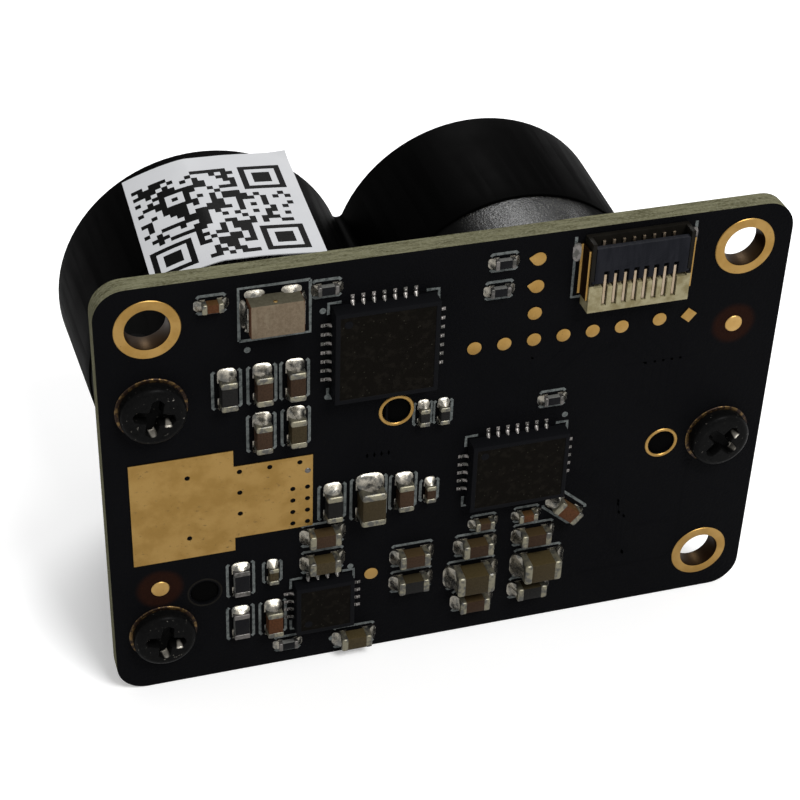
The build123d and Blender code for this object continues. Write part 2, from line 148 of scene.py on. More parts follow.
class Finish(Tree):
    """A surface finish: one Principled shader and the nodes that vary it."""

    def __init__(self, name, **constants):
        self.material = bpy.data.materials.new(name)
        self.material.use_nodes = True
        super().__init__(self.material.node_tree)
        self.shader = self.tree.nodes["Principled BSDF"]
        self.feed(**constants)
        coords = self.node("ShaderNodeTexCoord", out="Object")
        self.mm = self.node("ShaderNodeMapping", inputs={"Vector": coords, "Scale": (1 / MM,) * 3})

    def feed(self, **wires):
        """Link wires, or set plain values, on the shader's own sockets."""
        for key, value in wires.items():
            socket = self.shader.inputs[key.replace("_", " ")]
            if isinstance(value, Wire):
                self.tree.links.new(value.socket, socket)
            else:
                socket.default_value = value
        return self.material

    def mix_in_shade(self, factor, colour):
        """Mix in a duller surface where factor is 1: painted shade."""
        inputs = {"Base Color": rgba(colour), "Roughness": 0.6, "Specular IOR Level": 0.006}
        dull = self.node("ShaderNodeBsdfPrincipled", inputs=inputs)
        mixed = self.node("ShaderNodeMixShader", inputs={0: factor, 2: dull})
        self.tree.links.new(self.shader.outputs[0], mixed.socket.node.inputs[1])
        self.tree.links.new(mixed.socket, self.tree.nodes["Material Output"].inputs["Surface"])

    def noise(self, scale, detail=3.0, rough=0.55, vector=None):
        """Noise from 0 to 1, with its scale in cycles a millimetre."""
        inputs = {"Vector": vector or self.mm, "Scale": scale, "Detail": detail, "Roughness": rough}
        return self.node("ShaderNodeTexNoise", inputs=inputs)

    def painted(self, name, kind="Fac"):
        """A value or colour stored on the mesh under a name."""
        return self.node("ShaderNodeAttribute", {"attribute_name": name}, out=kind)

    def stretched(self, scale):
        """Position in millimetres, stretched along the axes."""
        return self.node("ShaderNodeMapping", inputs={"Vector": self.mm, "Scale": scale})

    def step(self, value, low, high, start=0.0, end=1.0):
        """A smooth step from start to end as value goes from low to high."""
        settings = {"interpolation_type": "SMOOTHSTEP"}
        inputs = {"Value": value, 1: low, 2: high, 3: start, 4: end}
        return self.node("ShaderNodeMapRange", settings, inputs)

    def blend(self, factor, first, second):
        """Colour that goes from first to second."""
        inputs = {0: factor, 6: rgba(first), 7: rgba(second)}
        return self.node("ShaderNodeMix", {"data_type": "RGBA"}, inputs, out=2)

    def parts(self, vector=None):
        """The x, y and z of a vector, by default the position in millimetres."""
        split = {"Vector": vector or self.mm}
        return [self.node("ShaderNodeSeparateXYZ", inputs=split, out=axis) for axis in range(3)]

    def facing(self):
        """The surface normal's x, y and z in the part's frame."""
        return self.parts(self.node("ShaderNodeTexCoord", out="Normal"))

    def bump(self, height, depth, strength=1.0, under=None):
        """Relief of a height from 0 to 1, with its full depth in millimetres."""
        inputs = {"Height": height, "Distance": depth * MM, "Strength": strength}
        if under:
            inputs["Normal"] = under
        return self.node("ShaderNodeBump", inputs=inputs)

    def specks(self, scale, size):
        """Small round spots scattered over the surface: 1 inside them."""
        inputs = {"Vector": self.mm, "Scale": scale, "Randomness": 1.0}
        return self.node("ShaderNodeTexVoronoi", inputs=inputs) < size

    def grained(self, colour, grain, smooth, coarse, depth, **more):
        """Feed a colour, with a grain's roughness from smooth to coarse and its relief."""
        rough = self.step(grain, 0.3, 0.7, smooth, coarse)
        return self.feed(Base_Color=colour, Roughness=rough, Normal=self.bump(grain, depth), **more)


def rgba(colour):
    return colour if isinstance(colour, Wire) else (*colour[:3], 1.0)


def grey(value):
    return (value, value, value)


# ==== Finishes ====
def solder_mask(name="solder_mask_black", bare_edges=True):
    """Black mask, rusty round the fiducials, with bare laminate at the board's cut edges."""
    f = Finish(name, Specular_IOR_Level=0.008)
    cloud = f.noise(0.35, detail=4)
    fine = f.noise(9.0, detail=2)
    mask = f.blend(cloud, (0.0024, 0.0025, 0.0030), (0.0042, 0.0042, 0.0048))
    opening = None
    for mark in islands("fiducial_marks"):
        spot = on_board @ middle_of(mark) / MM
        off = f.node("ShaderNodeVectorMath", {"operation": "DISTANCE"}, {0: f.mm, 1: spot}, out=1)
        ring = f.step(off + 0.25 * cloud, 1.0, 1.4, 1.0, 0.0)
        opening = ring if opening is None else opening + ring
    inside = f.blend(fine, (0.013, 0.0048, 0.0032), (0.021, 0.0075, 0.0042))
    mask = f.blend(opening.clamped() * 0.8, mask, inside)
    skin = f.step(cloud, 0.3, 0.7, 0.40, 0.52)
    if not bare_edges:
        return f.feed(Base_Color=mask, Roughness=skin, Normal=f.bump(fine, 0.004))
    # laminate: glass cloth layers in resin, seen at the cut edge
    x, _, z = f.parts()
    half_w, half_h = board_w / 2, board_h / 2
    middle_x, middle_z = board_middle.x / MM, board_middle.z / MM
    outer = x.math("MAXIMUM", abs(x - middle_x) / half_w, abs(z - middle_z) / half_h)
    inside_outline = f.step(outer, 0.955, 0.960, 1.0, 0.0)
    face = (f.step(abs(f.facing()[1]), 0.5, 0.8) + inside_outline).clamped()
    layers = f.noise(1.0, detail=2, vector=f.stretched((0.9, 7.0, 0.9)))
    fibres = f.noise(1.0, detail=4, rough=0.7, vector=f.stretched((6.0, 14.0, 6.0)))
    laminate = f.blend(f.step(layers, 0.3, 0.7), (0.055, 0.052, 0.026), (0.130, 0.126, 0.074))
    laminate = f.blend(f.step(fibres, 0.35, 0.75), laminate, (0.17, 0.165, 0.11))
    relief = f.bump(fine, 0.004, under=f.bump(fibres, 0.05, strength=1.0))
    colour = f.blend(face, laminate, mask)
    rough = skin * face + (1.0 - face) * 0.8
    return f.feed(Base_Color=colour, Roughness=rough, Normal=relief)


def immersion_gold(name, tone, dirt=0.35, painted_side_shade=0.0):
    """Matt gold over copper, mottled, with dark specks; faces across the board, like a plated bore's wall,
    can get painted shade: dark brown and dull.
    """
    f = Finish(name)
    cloud = f.noise(0.8, detail=5, rough=0.6)
    grain = f.noise(14.0, detail=2)
    flecks = f.noise(3.2, detail=6, rough=0.75, vector=f.stretched((1.0, 1.0, 1.6)))
    dull = tuple(part * share for part, share in zip(tone, (0.8, 0.76, 0.66)))
    colour = f.blend(f.step(cloud, 0.35, 0.65), dull, tone)
    stain = f.step(flecks, 0.60, 0.70) * dirt
    colour = f.blend(stain, colour, tuple(part * 0.42 for part in dull))
    pits = f.specks(2.6, 0.055)
    colour = f.blend(pits * 0.6, colour, (0.05, 0.03, 0.015))
    if painted_side_shade:
        # painted shade: faces across the board, like bore walls and sides, go dark brown and dull
        brown = (0.012, 0.006, 0.003)
        bore = f.step(abs(f.facing()[1]), 0.35, 0.6, painted_side_shade, 0.0)
        colour = f.blend(bore, colour, brown)
        f.mix_in_shade(bore * 0.8, brown)
    rough = f.step(cloud, 0.3, 0.7, 0.34, 0.46) + stain * 0.25
    metal = 1.0 - 0.35 * stain
    normal = f.bump(grain, 0.003, under=f.bump(cloud, 0.02, strength=0.5))
    return f.feed(Base_Color=colour, Roughness=rough, Metallic=metal, Normal=normal)


def tarnished_copper():
    """Dark brown-gold land under the screw heads, rubbed by the screws."""
    f = Finish("screw_land_copper")
    rub = f.noise(4.0, detail=4)
    colour = f.blend(f.step(rub, 0.45, 0.62), (0.018, 0.009, 0.005), (0.12, 0.072, 0.024))
    rough = f.step(rub, 0.4, 0.7, 0.5, 0.34)
    return f.feed(Base_Color=colour, Roughness=rough, Metallic=0.8, Normal=f.bump(rub, 0.006))


def bright_tin(name="bright_tin", tone=0.17, lumps=0.03, rough=0.3, warmth=0.72, metal=0.55):
    """Plated tin and solder: softly lumpy, part dull with oxide, yellowish from the flux."""
    f = Finish(name, Specular_IOR_Level=0.1, Metallic=metal)
    swell = f.noise(1.5, detail=1)
    cloud = f.noise(3.2, detail=3)
    grain = f.noise(13.0, detail=2)
    warm = (tone * 1.08, tone, tone * warmth)
    cold = (tone * 0.45, tone * 0.44, tone * 0.40)
    colour = f.blend(f.step(cloud, 0.36, 0.58), cold, warm)
    colour = f.blend(f.step(grain, 0.62, 0.74) * 0.4, colour, grey(tone * 0.25))
    worn = f.step(cloud, 0.35, 0.75, rough, rough + 0.14)
    normal = f.bump(grain, lumps * 0.08, under=f.bump(swell, lumps))
    return f.feed(Base_Color=colour, Roughness=worn, Normal=normal)


def cast_black(name, tone, grain_scale, grain_depth, rough, gloss, painted_glint=0.0):
    """Black moulding: one fine grain, clouded, with a few pale dust specks, and painted shade near the
    board, where its shine is mixed down.

    A blasted one also has pale specks painted into its colour as highlights on its upper side, and painted
    shade on its flanks.
    """
    f = Finish(name, Specular_IOR_Level=gloss)
    grain = f.noise(grain_scale, detail=2, rough=0.6)
    cloud = f.noise(0.22, detail=4)
    colour = f.blend(cloud, grey(tone * 0.75), grey(tone * 1.25))
    dust = f.specks(1.1, 0.035) * f.step(cloud, 0.5, 0.6)
    colour = f.blend(dust * 0.5, colour, (0.03, 0.03, 0.027))
    # painted highlights: pale specks in the colour
    if painted_glint:
        colour = f.blend(f.specks(8.0, 0.30) * painted_glint, colour, (0.055, 0.053, 0.040))
    # painted shade: next to the board the moulding is mixed to a duller surface
    dull = f.step(f.parts()[1], board_front + 5.7, board_front + 6.7, 1.0, 0.0)
    # painted shade: flanks are mixed duller, only faces turned up keep their shine
    if painted_glint:
        dull = (dull + f.step(f.facing()[2], 0.86, 0.98, 1.0, 0.0)).clamped()
    f.mix_in_shade(dull, grey(tone))
    skin = f.step(cloud, 0.3, 0.7, rough - 0.05, rough + 0.05)
    return f.feed(Base_Color=colour, Roughness=skin, Normal=f.bump(grain, grain_depth))


def black_steel():
    """Black zinc on the screws: matt, a few worn bright flecks, painted shade deep black in the recess, and
    painted highlights of bright metal on its lower lips.
    """
    f = Finish("black_zinc_steel", Specular_IOR_Level=0.02)
    grain = f.noise(6.0, detail=4, rough=0.65)
    # worn flecks, and painted highlights of bright metal on the lips
    flecks_and_glints = (f.step(grain, 0.66, 0.72) * 0.35 + f.painted("lip_glint")).clamped()
    colour = f.blend(grain, grey(0.0016), grey(0.0058))
    # painted shade: the recess is made deep black
    colour = f.blend(f.painted("recess"), colour, grey(0.0006))
    colour = f.blend(flecks_and_glints, colour, (0.62, 0.58, 0.50))
    return f.grained(colour, grain, 0.26, 0.38, 0.006, Metallic=flecks_and_glints)


def moulded_epoxy():
    """Black package epoxy: a brownish, speckled panel inside a smoother, bluer frame."""
    f = Finish("package_epoxy", Specular_IOR_Level=0.012)
    panel = f.painted("panel")
    grain = f.noise(12.0, detail=3, rough=0.7)
    specks = f.specks(3.6, 0.10) * panel
    marks = f.step(f.noise(2.6, detail=3, rough=0.6), 0.5, 0.66) * panel
    rim = f.blend(grain, (0.0044, 0.0045, 0.0052), (0.0064, 0.0066, 0.0076))
    top = f.blend(marks, (0.0040, 0.0034, 0.0026), (0.0070, 0.0060, 0.0046))
    colour = f.blend(panel, rim, top)
    colour = f.blend(specks * 0.45, colour, (0.05, 0.047, 0.035))
    return f.grained(colour, grain, 0.45, 0.62, 0.008)


def fired_ceramic():
    """Capacitor ceramic in each body's own tint, with fine pores, and its upper sides painted lighter and
    more ochre as painted light from above.
    """
    f = Finish("fired_ceramic", Specular_IOR_Level=0.03)
    tint = f.painted("tint", "Color")
    grain = f.noise(13.0, detail=4, rough=0.7)
    dark = f.node("ShaderNodeVectorMath", {"operation": "SCALE"}, {0: tint, "Scale": 0.6})
    colour = f.blend(f.step(grain, 0.35, 0.65), dark, tint)
    # painted light: faces turned upwards are lighter and more ochre
    lit_upper_side = f.step(f.facing()[2], 0.4, 0.8)
    colour = f.blend(lit_upper_side * 0.28, colour, (0.092, 0.066, 0.022))
    return f.grained(colour, grain, 0.38, 0.55, 0.006)


def resistor_glass():
    """Black glaze over a white ceramic slab: only the slab's sides stay white."""
    f = Finish("resistor_glaze", Specular_IOR_Level=0.03)
    grain = f.noise(10.0, detail=3)
    top = f.step(0.0 - f.facing()[1], 0.3, 0.6)
    slab = f.blend(grain, (0.10, 0.10, 0.095), (0.17, 0.17, 0.16))
    glaze = f.blend(grain, (0.004, 0.004, 0.005), (0.010, 0.010, 0.011))
    return f.grained(f.blend(top, slab, glaze), grain, 0.3, 0.45, 0.004)


def pressed_ferrite():
    """Pressed iron powder of the inductor: warm grey top, greenish sides, rusty ends."""
    f = Finish("pressed_iron_powder", Specular_IOR_Level=0.04)
    grain = f.noise(7.0, detail=5, rough=0.75)
    flow = f.noise(1.0, detail=3, vector=f.stretched((3.5, 1.0, 0.8)))
    end, out, _ = f.facing()
    mottle = f.step(grain, 0.3, 0.7)
    top = f.blend(mottle, (0.115, 0.086, 0.056), (0.165, 0.128, 0.088))
    top = f.blend(f.step(flow, 0.5, 0.7) * 0.35, top, (0.20, 0.168, 0.118))
    side = f.blend(mottle, (0.062, 0.056, 0.038), (0.096, 0.087, 0.060))
    colour = f.blend(f.step(0.0 - out, 0.45, 0.75), side, top)
    rust = f.step(abs(end) + 0.25 * grain, 0.30, 0.55)
    colour = f.blend(rust * 0.85, colour, (0.070, 0.026, 0.012))
    return f.grained(colour, grain, 0.5, 0.7, 0.012)


def ivory_nylon():
    """Ivory nylon of the cable socket's rear block, mottled where dust sits."""
    f = Finish("ivory_nylon", Specular_IOR_Level=0.06)
    cloud = f.noise(1.6, detail=5, rough=0.65)
    grain = f.noise(12.0, detail=2)
    colour = f.blend(f.step(cloud, 0.35, 0.65), (0.180, 0.152, 0.078), (0.285, 0.255, 0.155))
    return f.grained(colour, grain, 0.45, 0.6, 0.004)


def slate_nylon():
    """Blue-black nylon of the flip lock."""
    f = Finish("slate_nylon", Specular_IOR_Level=0.02)
    grain = f.noise(12.0, detail=3)
    streaks = f.noise(1.0, detail=3, vector=f.stretched((5.0, 1.0, 0.6)))
    colour = f.blend(f.step(streaks, 0.35, 0.7), (0.0082, 0.0088, 0.0115), (0.0125, 0.0130, 0.0165))
    return f.grained(colour, grain, 0.36, 0.5, 0.005)


def soot_nylon():
    """The socket's open frame, drawn brown-black."""
    f = Finish("soot_nylon", Specular_IOR_Level=0.03)
    cloud = f.noise(2.0, detail=4)
    colour = f.blend(cloud, (0.0050, 0.0044, 0.0036), (0.0110, 0.0098, 0.0078))
    return f.grained(colour, cloud, 0.35, 0.5, 0.006)


def printed_ink():
    """Grey-white legend ink, thin and patchy."""
    f = Finish("legend_ink", Specular_IOR_Level=0.03)
    patch = f.noise(4.0, detail=4, rough=0.7)
    colour = f.blend(f.step(patch, 0.3, 0.6), (0.045, 0.052, 0.052), (0.135, 0.147, 0.143))
    return f.feed(Base_Color=colour, Roughness=0.7, Normal=f.bump(patch, 0.006))


def coated_glass(name, tint):
    """Clear lens glass with a thin tinted coating and a trace of dust."""
    f = Finish(name, Transmission_Weight=1.0, IOR=1.52, Coat_IOR=1.9)
    dust = f.noise(3.0, detail=5, rough=0.7)
    colour = f.blend(f.step(dust, 0.55, 0.75), tint, tuple(part * 0.94 for part in tint))
    haze = f.step(dust, 0.55, 0.8, 0.0, 0.05)
    return f.feed(Base_Color=colour, Roughness=haze, Coat_Weight=f.step(dust, 0.4, 0.7, 0.12, 0.05))


def filter_mirror():
    """Dark red interference filter."""
    f = Finish("interference_filter", Specular_IOR_Level=0.8, Coat_IOR=1.8)
    sheen = f.noise(0.3, detail=2)
    colour = f.blend(sheen, (0.10, 0.012, 0.03), (0.16, 0.02, 0.05))
    return f.feed(Base_Color=colour, Roughness=f.step(sheen, 0.3, 0.7, 0.04, 0.08), Metallic=0.7)


def alumina():
    """White ceramic of the emitter's package."""
    f = Finish("alumina", Specular_IOR_Level=0.4)
    grain = f.noise(9.0, detail=4)
    colour = f.blend(grain, (0.5, 0.49, 0.45), (0.66, 0.65, 0.61))
    return f.grained(colour, grain, 0.4, 0.55, 0.006)


def label_print():
    """White film with a printed field of squares: three corner targets, a small one, and filler."""
    f = Finish("label_print", Specular_IOR_Level=0.006)
    cells = 25
    left, right, front, back = 0.9, 2.1, 4.1, 1.4
    across, down, _ = f.parts(f.node("ShaderNodeUVMap", {"uv_map": "print"}))
    u = across * (cells + left + right) - left
    v = down * (cells + front + back) - front
    cell = f.node("ShaderNodeCombineXYZ", inputs={0: u.math("FLOOR", u), 1: v.math("FLOOR", v)})
    filler = f.node("ShaderNodeTexWhiteNoise", {"noise_dimensions": "2D"}, {"Vector": cell}) > 0.5
    ink = filler * (u > 0) * (u < cells) * (v > 0) * (v < cells)
    near, far = 3.5, cells - 3.5
    targets = [(far, near, 3.5), (far, far, 3.5), (near, far, 3.5), (6.5, 6.5, 2.5)]
    for middle_u, middle_v, reach in targets:
        off = u.math("MAXIMUM", abs(u - middle_u), abs(v - middle_v))
        frame_ink = (off > reach - 1.0) * (off < reach)
        clear = off < (reach + 1.0 if reach > 3 else reach)
        ink = ink * (1.0 - clear) + frame_ink + (off < reach - 2.0)
    ink = ink.clamped()
    patch = f.noise(7.0, detail=3)
    cloud = f.noise(0.5, detail=3)
    front_side = f.step(f.painted("printed"), 0.4, 0.6)
    film = f.blend(cloud, (0.44, 0.445, 0.46), (0.51, 0.515, 0.525))
    black = f.blend(patch, grey(0.002), grey(0.006))
    colour = f.blend(ink * front_side, film, black)
    return f.feed(Base_Color=colour, Roughness=0.5 - 0.1 * ink, Normal=f.bump(patch, 0.004))


# ==== Meshes ====
def as_mesh(bm, name="piece", sharp_from=24):
    """Turn a bmesh into a mesh with outward faces, smooth except across sharp edges."""
    mesh = bpy.data.meshes.new(name)
    bmesh.ops.recalc_face_normals(bm, faces=bm.faces)
    for face in bm.faces:
        face.smooth = True
    bm.to_mesh(mesh)
    bm.free()
    mesh.set_sharp_from_angle(angle=radians(sharp_from))
    return mesh


def rounded(bm, edges, reach, segments=2, **settings):
    """Round off edges of a bmesh."""
    settings |= {"offset": reach, "segments": segments, "profile": 0.5, "affect": "EDGES"}
    bmesh.ops.bevel(bm, geom=edges, **settings)


def block(size, edge, middle=(0, 0), foot=0.0, segments=2):
    """A rounded block that stands on a height: size along x, y and z, and its edge's rounding."""
    bm = bmesh.new()
    bmesh.ops.create_cube(bm, size=1)
    bmesh.ops.scale(bm, vec=size, verts=bm.verts)
    bmesh.ops.translate(bm, vec=(*middle, foot + size[2] / 2), verts=bm.verts)
    rounded(bm, bm.edges[:], edge, segments)
    return bm


def add_to(bm, other, turn=0.0, shift=(0, 0, 0)):
    """Merge another bmesh into one, turned about z and moved."""
    bmesh.ops.recalc_face_normals(other, faces=other.faces)
    other.transform(Matrix.Translation(shift) @ Matrix.Rotation(turn, 4, "Z"))
    spare = bpy.data.meshes.new("spare")
    other.to_mesh(spare)
    other.free()
    bm.from_mesh(spare)
    bpy.data.meshes.remove(spare)


def ring_of(bm, radius, height, steps):
    """Vertices round the z axis, or one vertex on it."""
    if radius < 1e-6:
        return [bm.verts.new((0, 0, height))]
    angles = [2 * pi * step / steps for step in range(steps)]
    return [bm.verts.new((radius * cos(a), radius * sin(a), height)) for a in angles]


def skinned(bm, pairs, steps):
    """Faces between pairs of rings, where a ring may be a single vertex."""
    for first, second in pairs:
        for step in range(steps):
            after = (step + 1) % steps
            around = ((first, step), (first, after), (second, after), (second, step))
            corners = list(dict.fromkeys(ring[turn % len(ring)] for ring, turn in around))
            if len(corners) > 2:
                bm.faces.new(corners)


def turned(profile, steps):
    """A closed outline of (radius, height) turned about z. It may start and end on the axis."""
    bm = bmesh.new()
    rings = [ring_of(bm, radius, height, steps) for radius, height in profile]
    pairs = list(zip(rings, rings[1:]))
    if len(rings[0]) > 1:
        pairs.append((rings[-1], rings[0]))
    skinned(bm, pairs, steps)
    return bm


def arc(centre, radius, start, end, steps):
    """Points on an arc in a profile, from one angle to the other in degrees."""
    angles = [radians(start + (end - start) * step / steps) for step in range(steps + 1)]
    return [(centre[0] + radius * cos(a), centre[1] + radius * sin(a)) for a in angles]


def plate(outline, height, edge):
    """A flat outline of (x, y) points made into a plate with a rounded upper rim."""
    bm = bmesh.new()
    face = bm.faces.new([bm.verts.new((x, y, 0)) for x, y in outline])
    lifted = bmesh.ops.extrude_face_region(bm, geom=[face])
    top = [item for item in lifted["geom"] if isinstance(item, bmesh.types.BMVert)]
    bmesh.ops.translate(bm, vec=(0, 0, height), verts=top)
    rim = [e for e in bm.edges if all(abs(v.co.z - height) < 1e-6 for v in e.verts)]
    rounded(bm, rim, edge)
    return bm


def grid_solid(rows, columns, point):
    """A closed shell over a grid: point(u, v) is its top, and its underside is flat at z = 0."""
    bm = bmesh.new()
    top = []
    for row in range(rows + 1):
        spots = [point(row / rows, column / columns) for column in range(columns + 1)]
        top.append([bm.verts.new(spot) for spot in spots])
    for row in range(rows):
        for column in range(columns):
            near, far = top[row], top[row + 1]
            bm.faces.new((near[column], near[column + 1], far[column + 1], far[column]))
    rim = top[0][:-1] + [row[-1] for row in top[:-1]] + top[-1][:0:-1] + [row[0] for row in top[:0:-1]]
    foot = [bm.verts.new((vert.co.x, vert.co.y, 0)) for vert in rim]
    for step, vert in enumerate(rim):
        after = (step + 1) % len(rim)
        bm.faces.new((vert, foot[step], foot[after], rim[after]))
    bm.faces.new(foot)
    bmesh.ops.remove_doubles(bm, verts=bm.verts, dist=1e-5)
    return bm


flat_within, sharp_over = 0.6, 28.0  # degrees between faces


def softened(node, edge, segments=2):
    """A copy of a CAD node with its triangles merged, its flats cleaned and its corners rounded."""
    bm = bmesh.new()
    bm.from_mesh(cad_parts[node].data)
    bm.transform(Matrix.Scale(1 / MM, 4))
    bmesh.ops.remove_doubles(bm, verts=bm.verts, dist=0.0008)
    settings = {"angle_limit": radians(flat_within), "use_dissolve_boundaries": False}
    bmesh.ops.dissolve_limit(bm, verts=bm.verts, edges=bm.edges, **settings)
    inner = [e for e in bm.edges if len(e.link_faces) == 2]
    corners = [e for e in inner if e.calc_face_angle(0) > radians(sharp_over)]
    rounded(bm, corners, edge, segments, clamp_overlap=True)
    mesh = as_mesh(bm, node)
    mesh.transform(Matrix.Scale(MM, 4))
    return mesh


def islands(node):
    """The separate solids of a CAD node, each as its points in board millimetres."""
    bm = bmesh.new()
    bm.from_mesh(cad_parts[node].data)
    bmesh.ops.remove_doubles(bm, verts=bm.verts, dist=1e-6)
    left, found = set(bm.verts), []
    while left:
        reach = [left.pop()]
        solid = []
        while reach:
            vert = reach.pop()
            solid.append(off_board @ vert.co)
            near = {edge.other_vert(vert) for edge in vert.link_edges} & left
            left -= near
            reach.extend(near)
        found.append(solid)
    bm.free()
    return sorted(found, key=lambda solid: tuple(round(part, 3) for part in middle_of(solid)))


def span_of(points, turn=0.0):
    """Lowest and highest corner of points after they are turned back by an angle."""
    back = Matrix.Rotation(-turn, 3, "Z")
    spun = [back @ point for point in points]
    low = Vector([min(point[axis] for point in spun) for axis in range(3)])
    high = Vector([max(point[axis] for point in spun) for axis in range(3)])
    return low, high


def middle_of(points):
    low, high = span_of(points)
    return (low + high) / 2


def places_of(solids):
    """Where solids stand on the board, unturned."""
    return [(middle_of(solid).x, middle_of(solid).y, 0.0) for solid in solids]


def round_size(solid):
    """Outer radius, inner radius and height of a round solid on the board."""
    low, high = span_of(solid)
    centre = middle_of(solid)
    inner = min(hypot(point.x - centre.x, point.y - centre.y) for point in solid)
    return (high.x - low.x) / 2, inner, high.z


def box_on_board(node):
    """Lowest and highest corner of a CAD node in board millimetres."""
    return span_of([off_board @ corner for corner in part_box(node)])


# ==== Pieces ====
def settle(name, mesh, finish, slot, place=None, body="module", stands_for=()):
    """Finish one piece: place its mesh in the part's frame and let it ride on its body."""
    if place:
        mesh.transform(place)
    mesh.name = name
    mesh.materials.clear()
    mesh.materials.append(finish)
    mesh.update()
    piece = bpy.data.objects.new(name, mesh)
    bpy.context.scene.collection.objects.link(piece)
    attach(piece, body)
    if stands_for:
        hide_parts(*stands_for)


def settle_copies(name, shape, places, finish, slot, *nodes, tints=None):
    """One piece on the board with a copy of a shape at every place, instead of CAD nodes."""
    mesh = copies(shape, places, finish, tints)
    settle(name, mesh, finish, slot, on_board, stands_for=nodes)


def settle_softened(name, node, edge, finish, slot, segments=2, body="module"):
    """One piece with its CAD node's shape and rounded edges, instead of the node."""
    settle(name, softened(node, edge, segments), finish, slot, body=body, stands_for=[node])


def refinish(node, finish):
    """Show a CAD node's own mesh in a finish."""
    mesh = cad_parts[node].data
    mesh.materials.clear()
    mesh.materials.append(finish)


def new_group(name, given):
    """A Geometry Nodes group with named inputs: its tree and a wire from each input."""
    group = bpy.data.node_groups.new(name, "GeometryNodeTree")
    for title, kind in given.items():
        group.interface.new_socket(title, in_out="INPUT", socket_type="NodeSocket" + kind)
    group.interface.new_socket("Result", in_out="OUTPUT", socket_type="NodeSocketGeometry")
    g = Tree(group)
    source = g.node("NodeGroupInput").socket.node
    return g, [Wire(g, source.outputs[title]) for title in given]


def finished(g, geometry, finish):
    """The group of a tree that ends with real geometry in its finish."""
    real = g.node("GeometryNodeRealizeInstances", inputs={"Geometry": geometry})
    dressed = g.node("GeometryNodeSetMaterial", inputs={"Geometry": real, "Material": finish})
    g.node("NodeGroupOutput", inputs={"Result": dressed})
    return g.tree


def tree_of_copies():
    """Geometry Nodes: a copy of one shape on every point, turned about z by the point's turn."""
    given = {"Places": "Geometry", "Shape": "Object", "Finish": "Material"}
    g, (places, shape, finish) = new_group("copies_on_places", given)
    turn = g.node("GeometryNodeInputNamedAttribute", {"data_type": "FLOAT"}, {"Name": "turn"})
    angles = g.node("ShaderNodeCombineXYZ", inputs={2: turn})
    model = g.node("GeometryNodeObjectInfo", inputs={"Object": shape}, out="Geometry")
    inputs = {"Points": places, "Instance": model, "Rotation": angles}
    return finished(g, g.node("GeometryNodeInstanceOnPoints", inputs=inputs), finish)


def tree_of_strips():
    """Geometry Nodes: a thin flat strip along every run of edges, with eased corners."""
    given = {"Runs": "Geometry", "Width": "Float", "Height": "Float", "Ease": "Float", "Finish": "Material"}
    g, (runs, width, height, ease, finish) = new_group("strips_on_runs", given)
    line = g.node("GeometryNodeMeshToCurve", inputs={"Mesh": runs})
    bends = {"Curve": line, "Radius": ease, "Count": 3}
    eased = g.node("GeometryNodeFilletCurve", {"mode": "POLY"}, bends)
    level = g.node("GeometryNodeSetCurveNormal", {"mode": "Z_UP"}, {"Curve": eased})
    sides = {"Width": width, "Height": height}
    profile = g.node("GeometryNodeCurvePrimitiveQuadrilateral", {"mode": "RECTANGLE"}, sides)
    inputs = {"Curve": level, "Profile Curve": profile, "Fill Caps": True}
    return finished(g, g.node("GeometryNodeCurveToMesh", inputs=inputs), finish)


def grown(base, group, **values):
    """Run a node group on a mesh with its named inputs set, and keep the result as a plain mesh."""
    holder = bpy.data.objects.new("holder", base)
    bpy.context.scene.collection.objects.link(holder)
    modifier = holder.modifiers.new("grow", "NODES")
    modifier.node_group = group
    sockets = {item.name: item.identifier for item in group.interface.items_tree}
    for name, value in values.items():
        modifier[sockets[name]] = value
    bpy.context.view_layer.update()
    graph = bpy.context.evaluated_depsgraph_get()
    result = holder.evaluated_get(graph)
    mesh = bpy.data.meshes.new_from_object(result, preserve_all_data_layers=True, depsgraph=graph)
    holder.modifiers.clear()
    bpy.data.objects.remove(holder)
    return mesh


copies_group = tree_of_copies()
strips_group = tree_of_strips()


def copies(shape, places, finish, tints=None):
    """One mesh with a copy of a shape at every (x, y, turn) or (x, y, turn, height)."""
    points = bpy.data.meshes.new("places")
    points.from_pydata([(x, y, sum(height)) for x, y, _, *height in places], [], [])
    turn = points.attributes.new("turn", "FLOAT", "POINT")
    turn.data.foreach_set("value", [place[2] for place in places])
    if tints:
        tint = points.attributes.new("tint", "FLOAT_COLOR", "POINT")
        tint.data.foreach_set("color", [part for colour in tints for part in (*colour, 1.0)])
    model = bpy.data.objects.new("shape", as_mesh(shape, "shape"))
    bpy.context.scene.collection.objects.link(model)
    mesh = grown(points, copies_group, Shape=model, Finish=finish)
    bpy.data.objects.remove(model)
    return mesh


def strips(runs, width, height, finish, ease=0.0):
    """One mesh of flat strips along runs of (x, y) points on the board."""
    points, edges = [], []
    for run in runs:
        start = len(points)
        points.extend((x, y, height / 2) for x, y in run)
        edges.extend((step, step + 1) for step in range(start, len(points) - 1))
    base = bpy.data.meshes.new("runs")
    base.from_pydata(points, edges, [])
    return grown(base, strips_group, Width=width, Height=height, Ease=ease, Finish=finish)


def joined(*meshes):
    """Several meshes in one."""
    bm = bmesh.new()
    for mesh in meshes:
        bm.from_mesh(mesh)
    whole = bpy.data.meshes.new("joined")
    bm.to_mesh(whole)
    bm.free()
    whole.set_sharp_from_angle(angle=radians(24))
    return whole


# ---- finishes, made once ----
mask_black = solder_mask()
masked_copper = solder_mask("masked_copper", bare_edges=False)
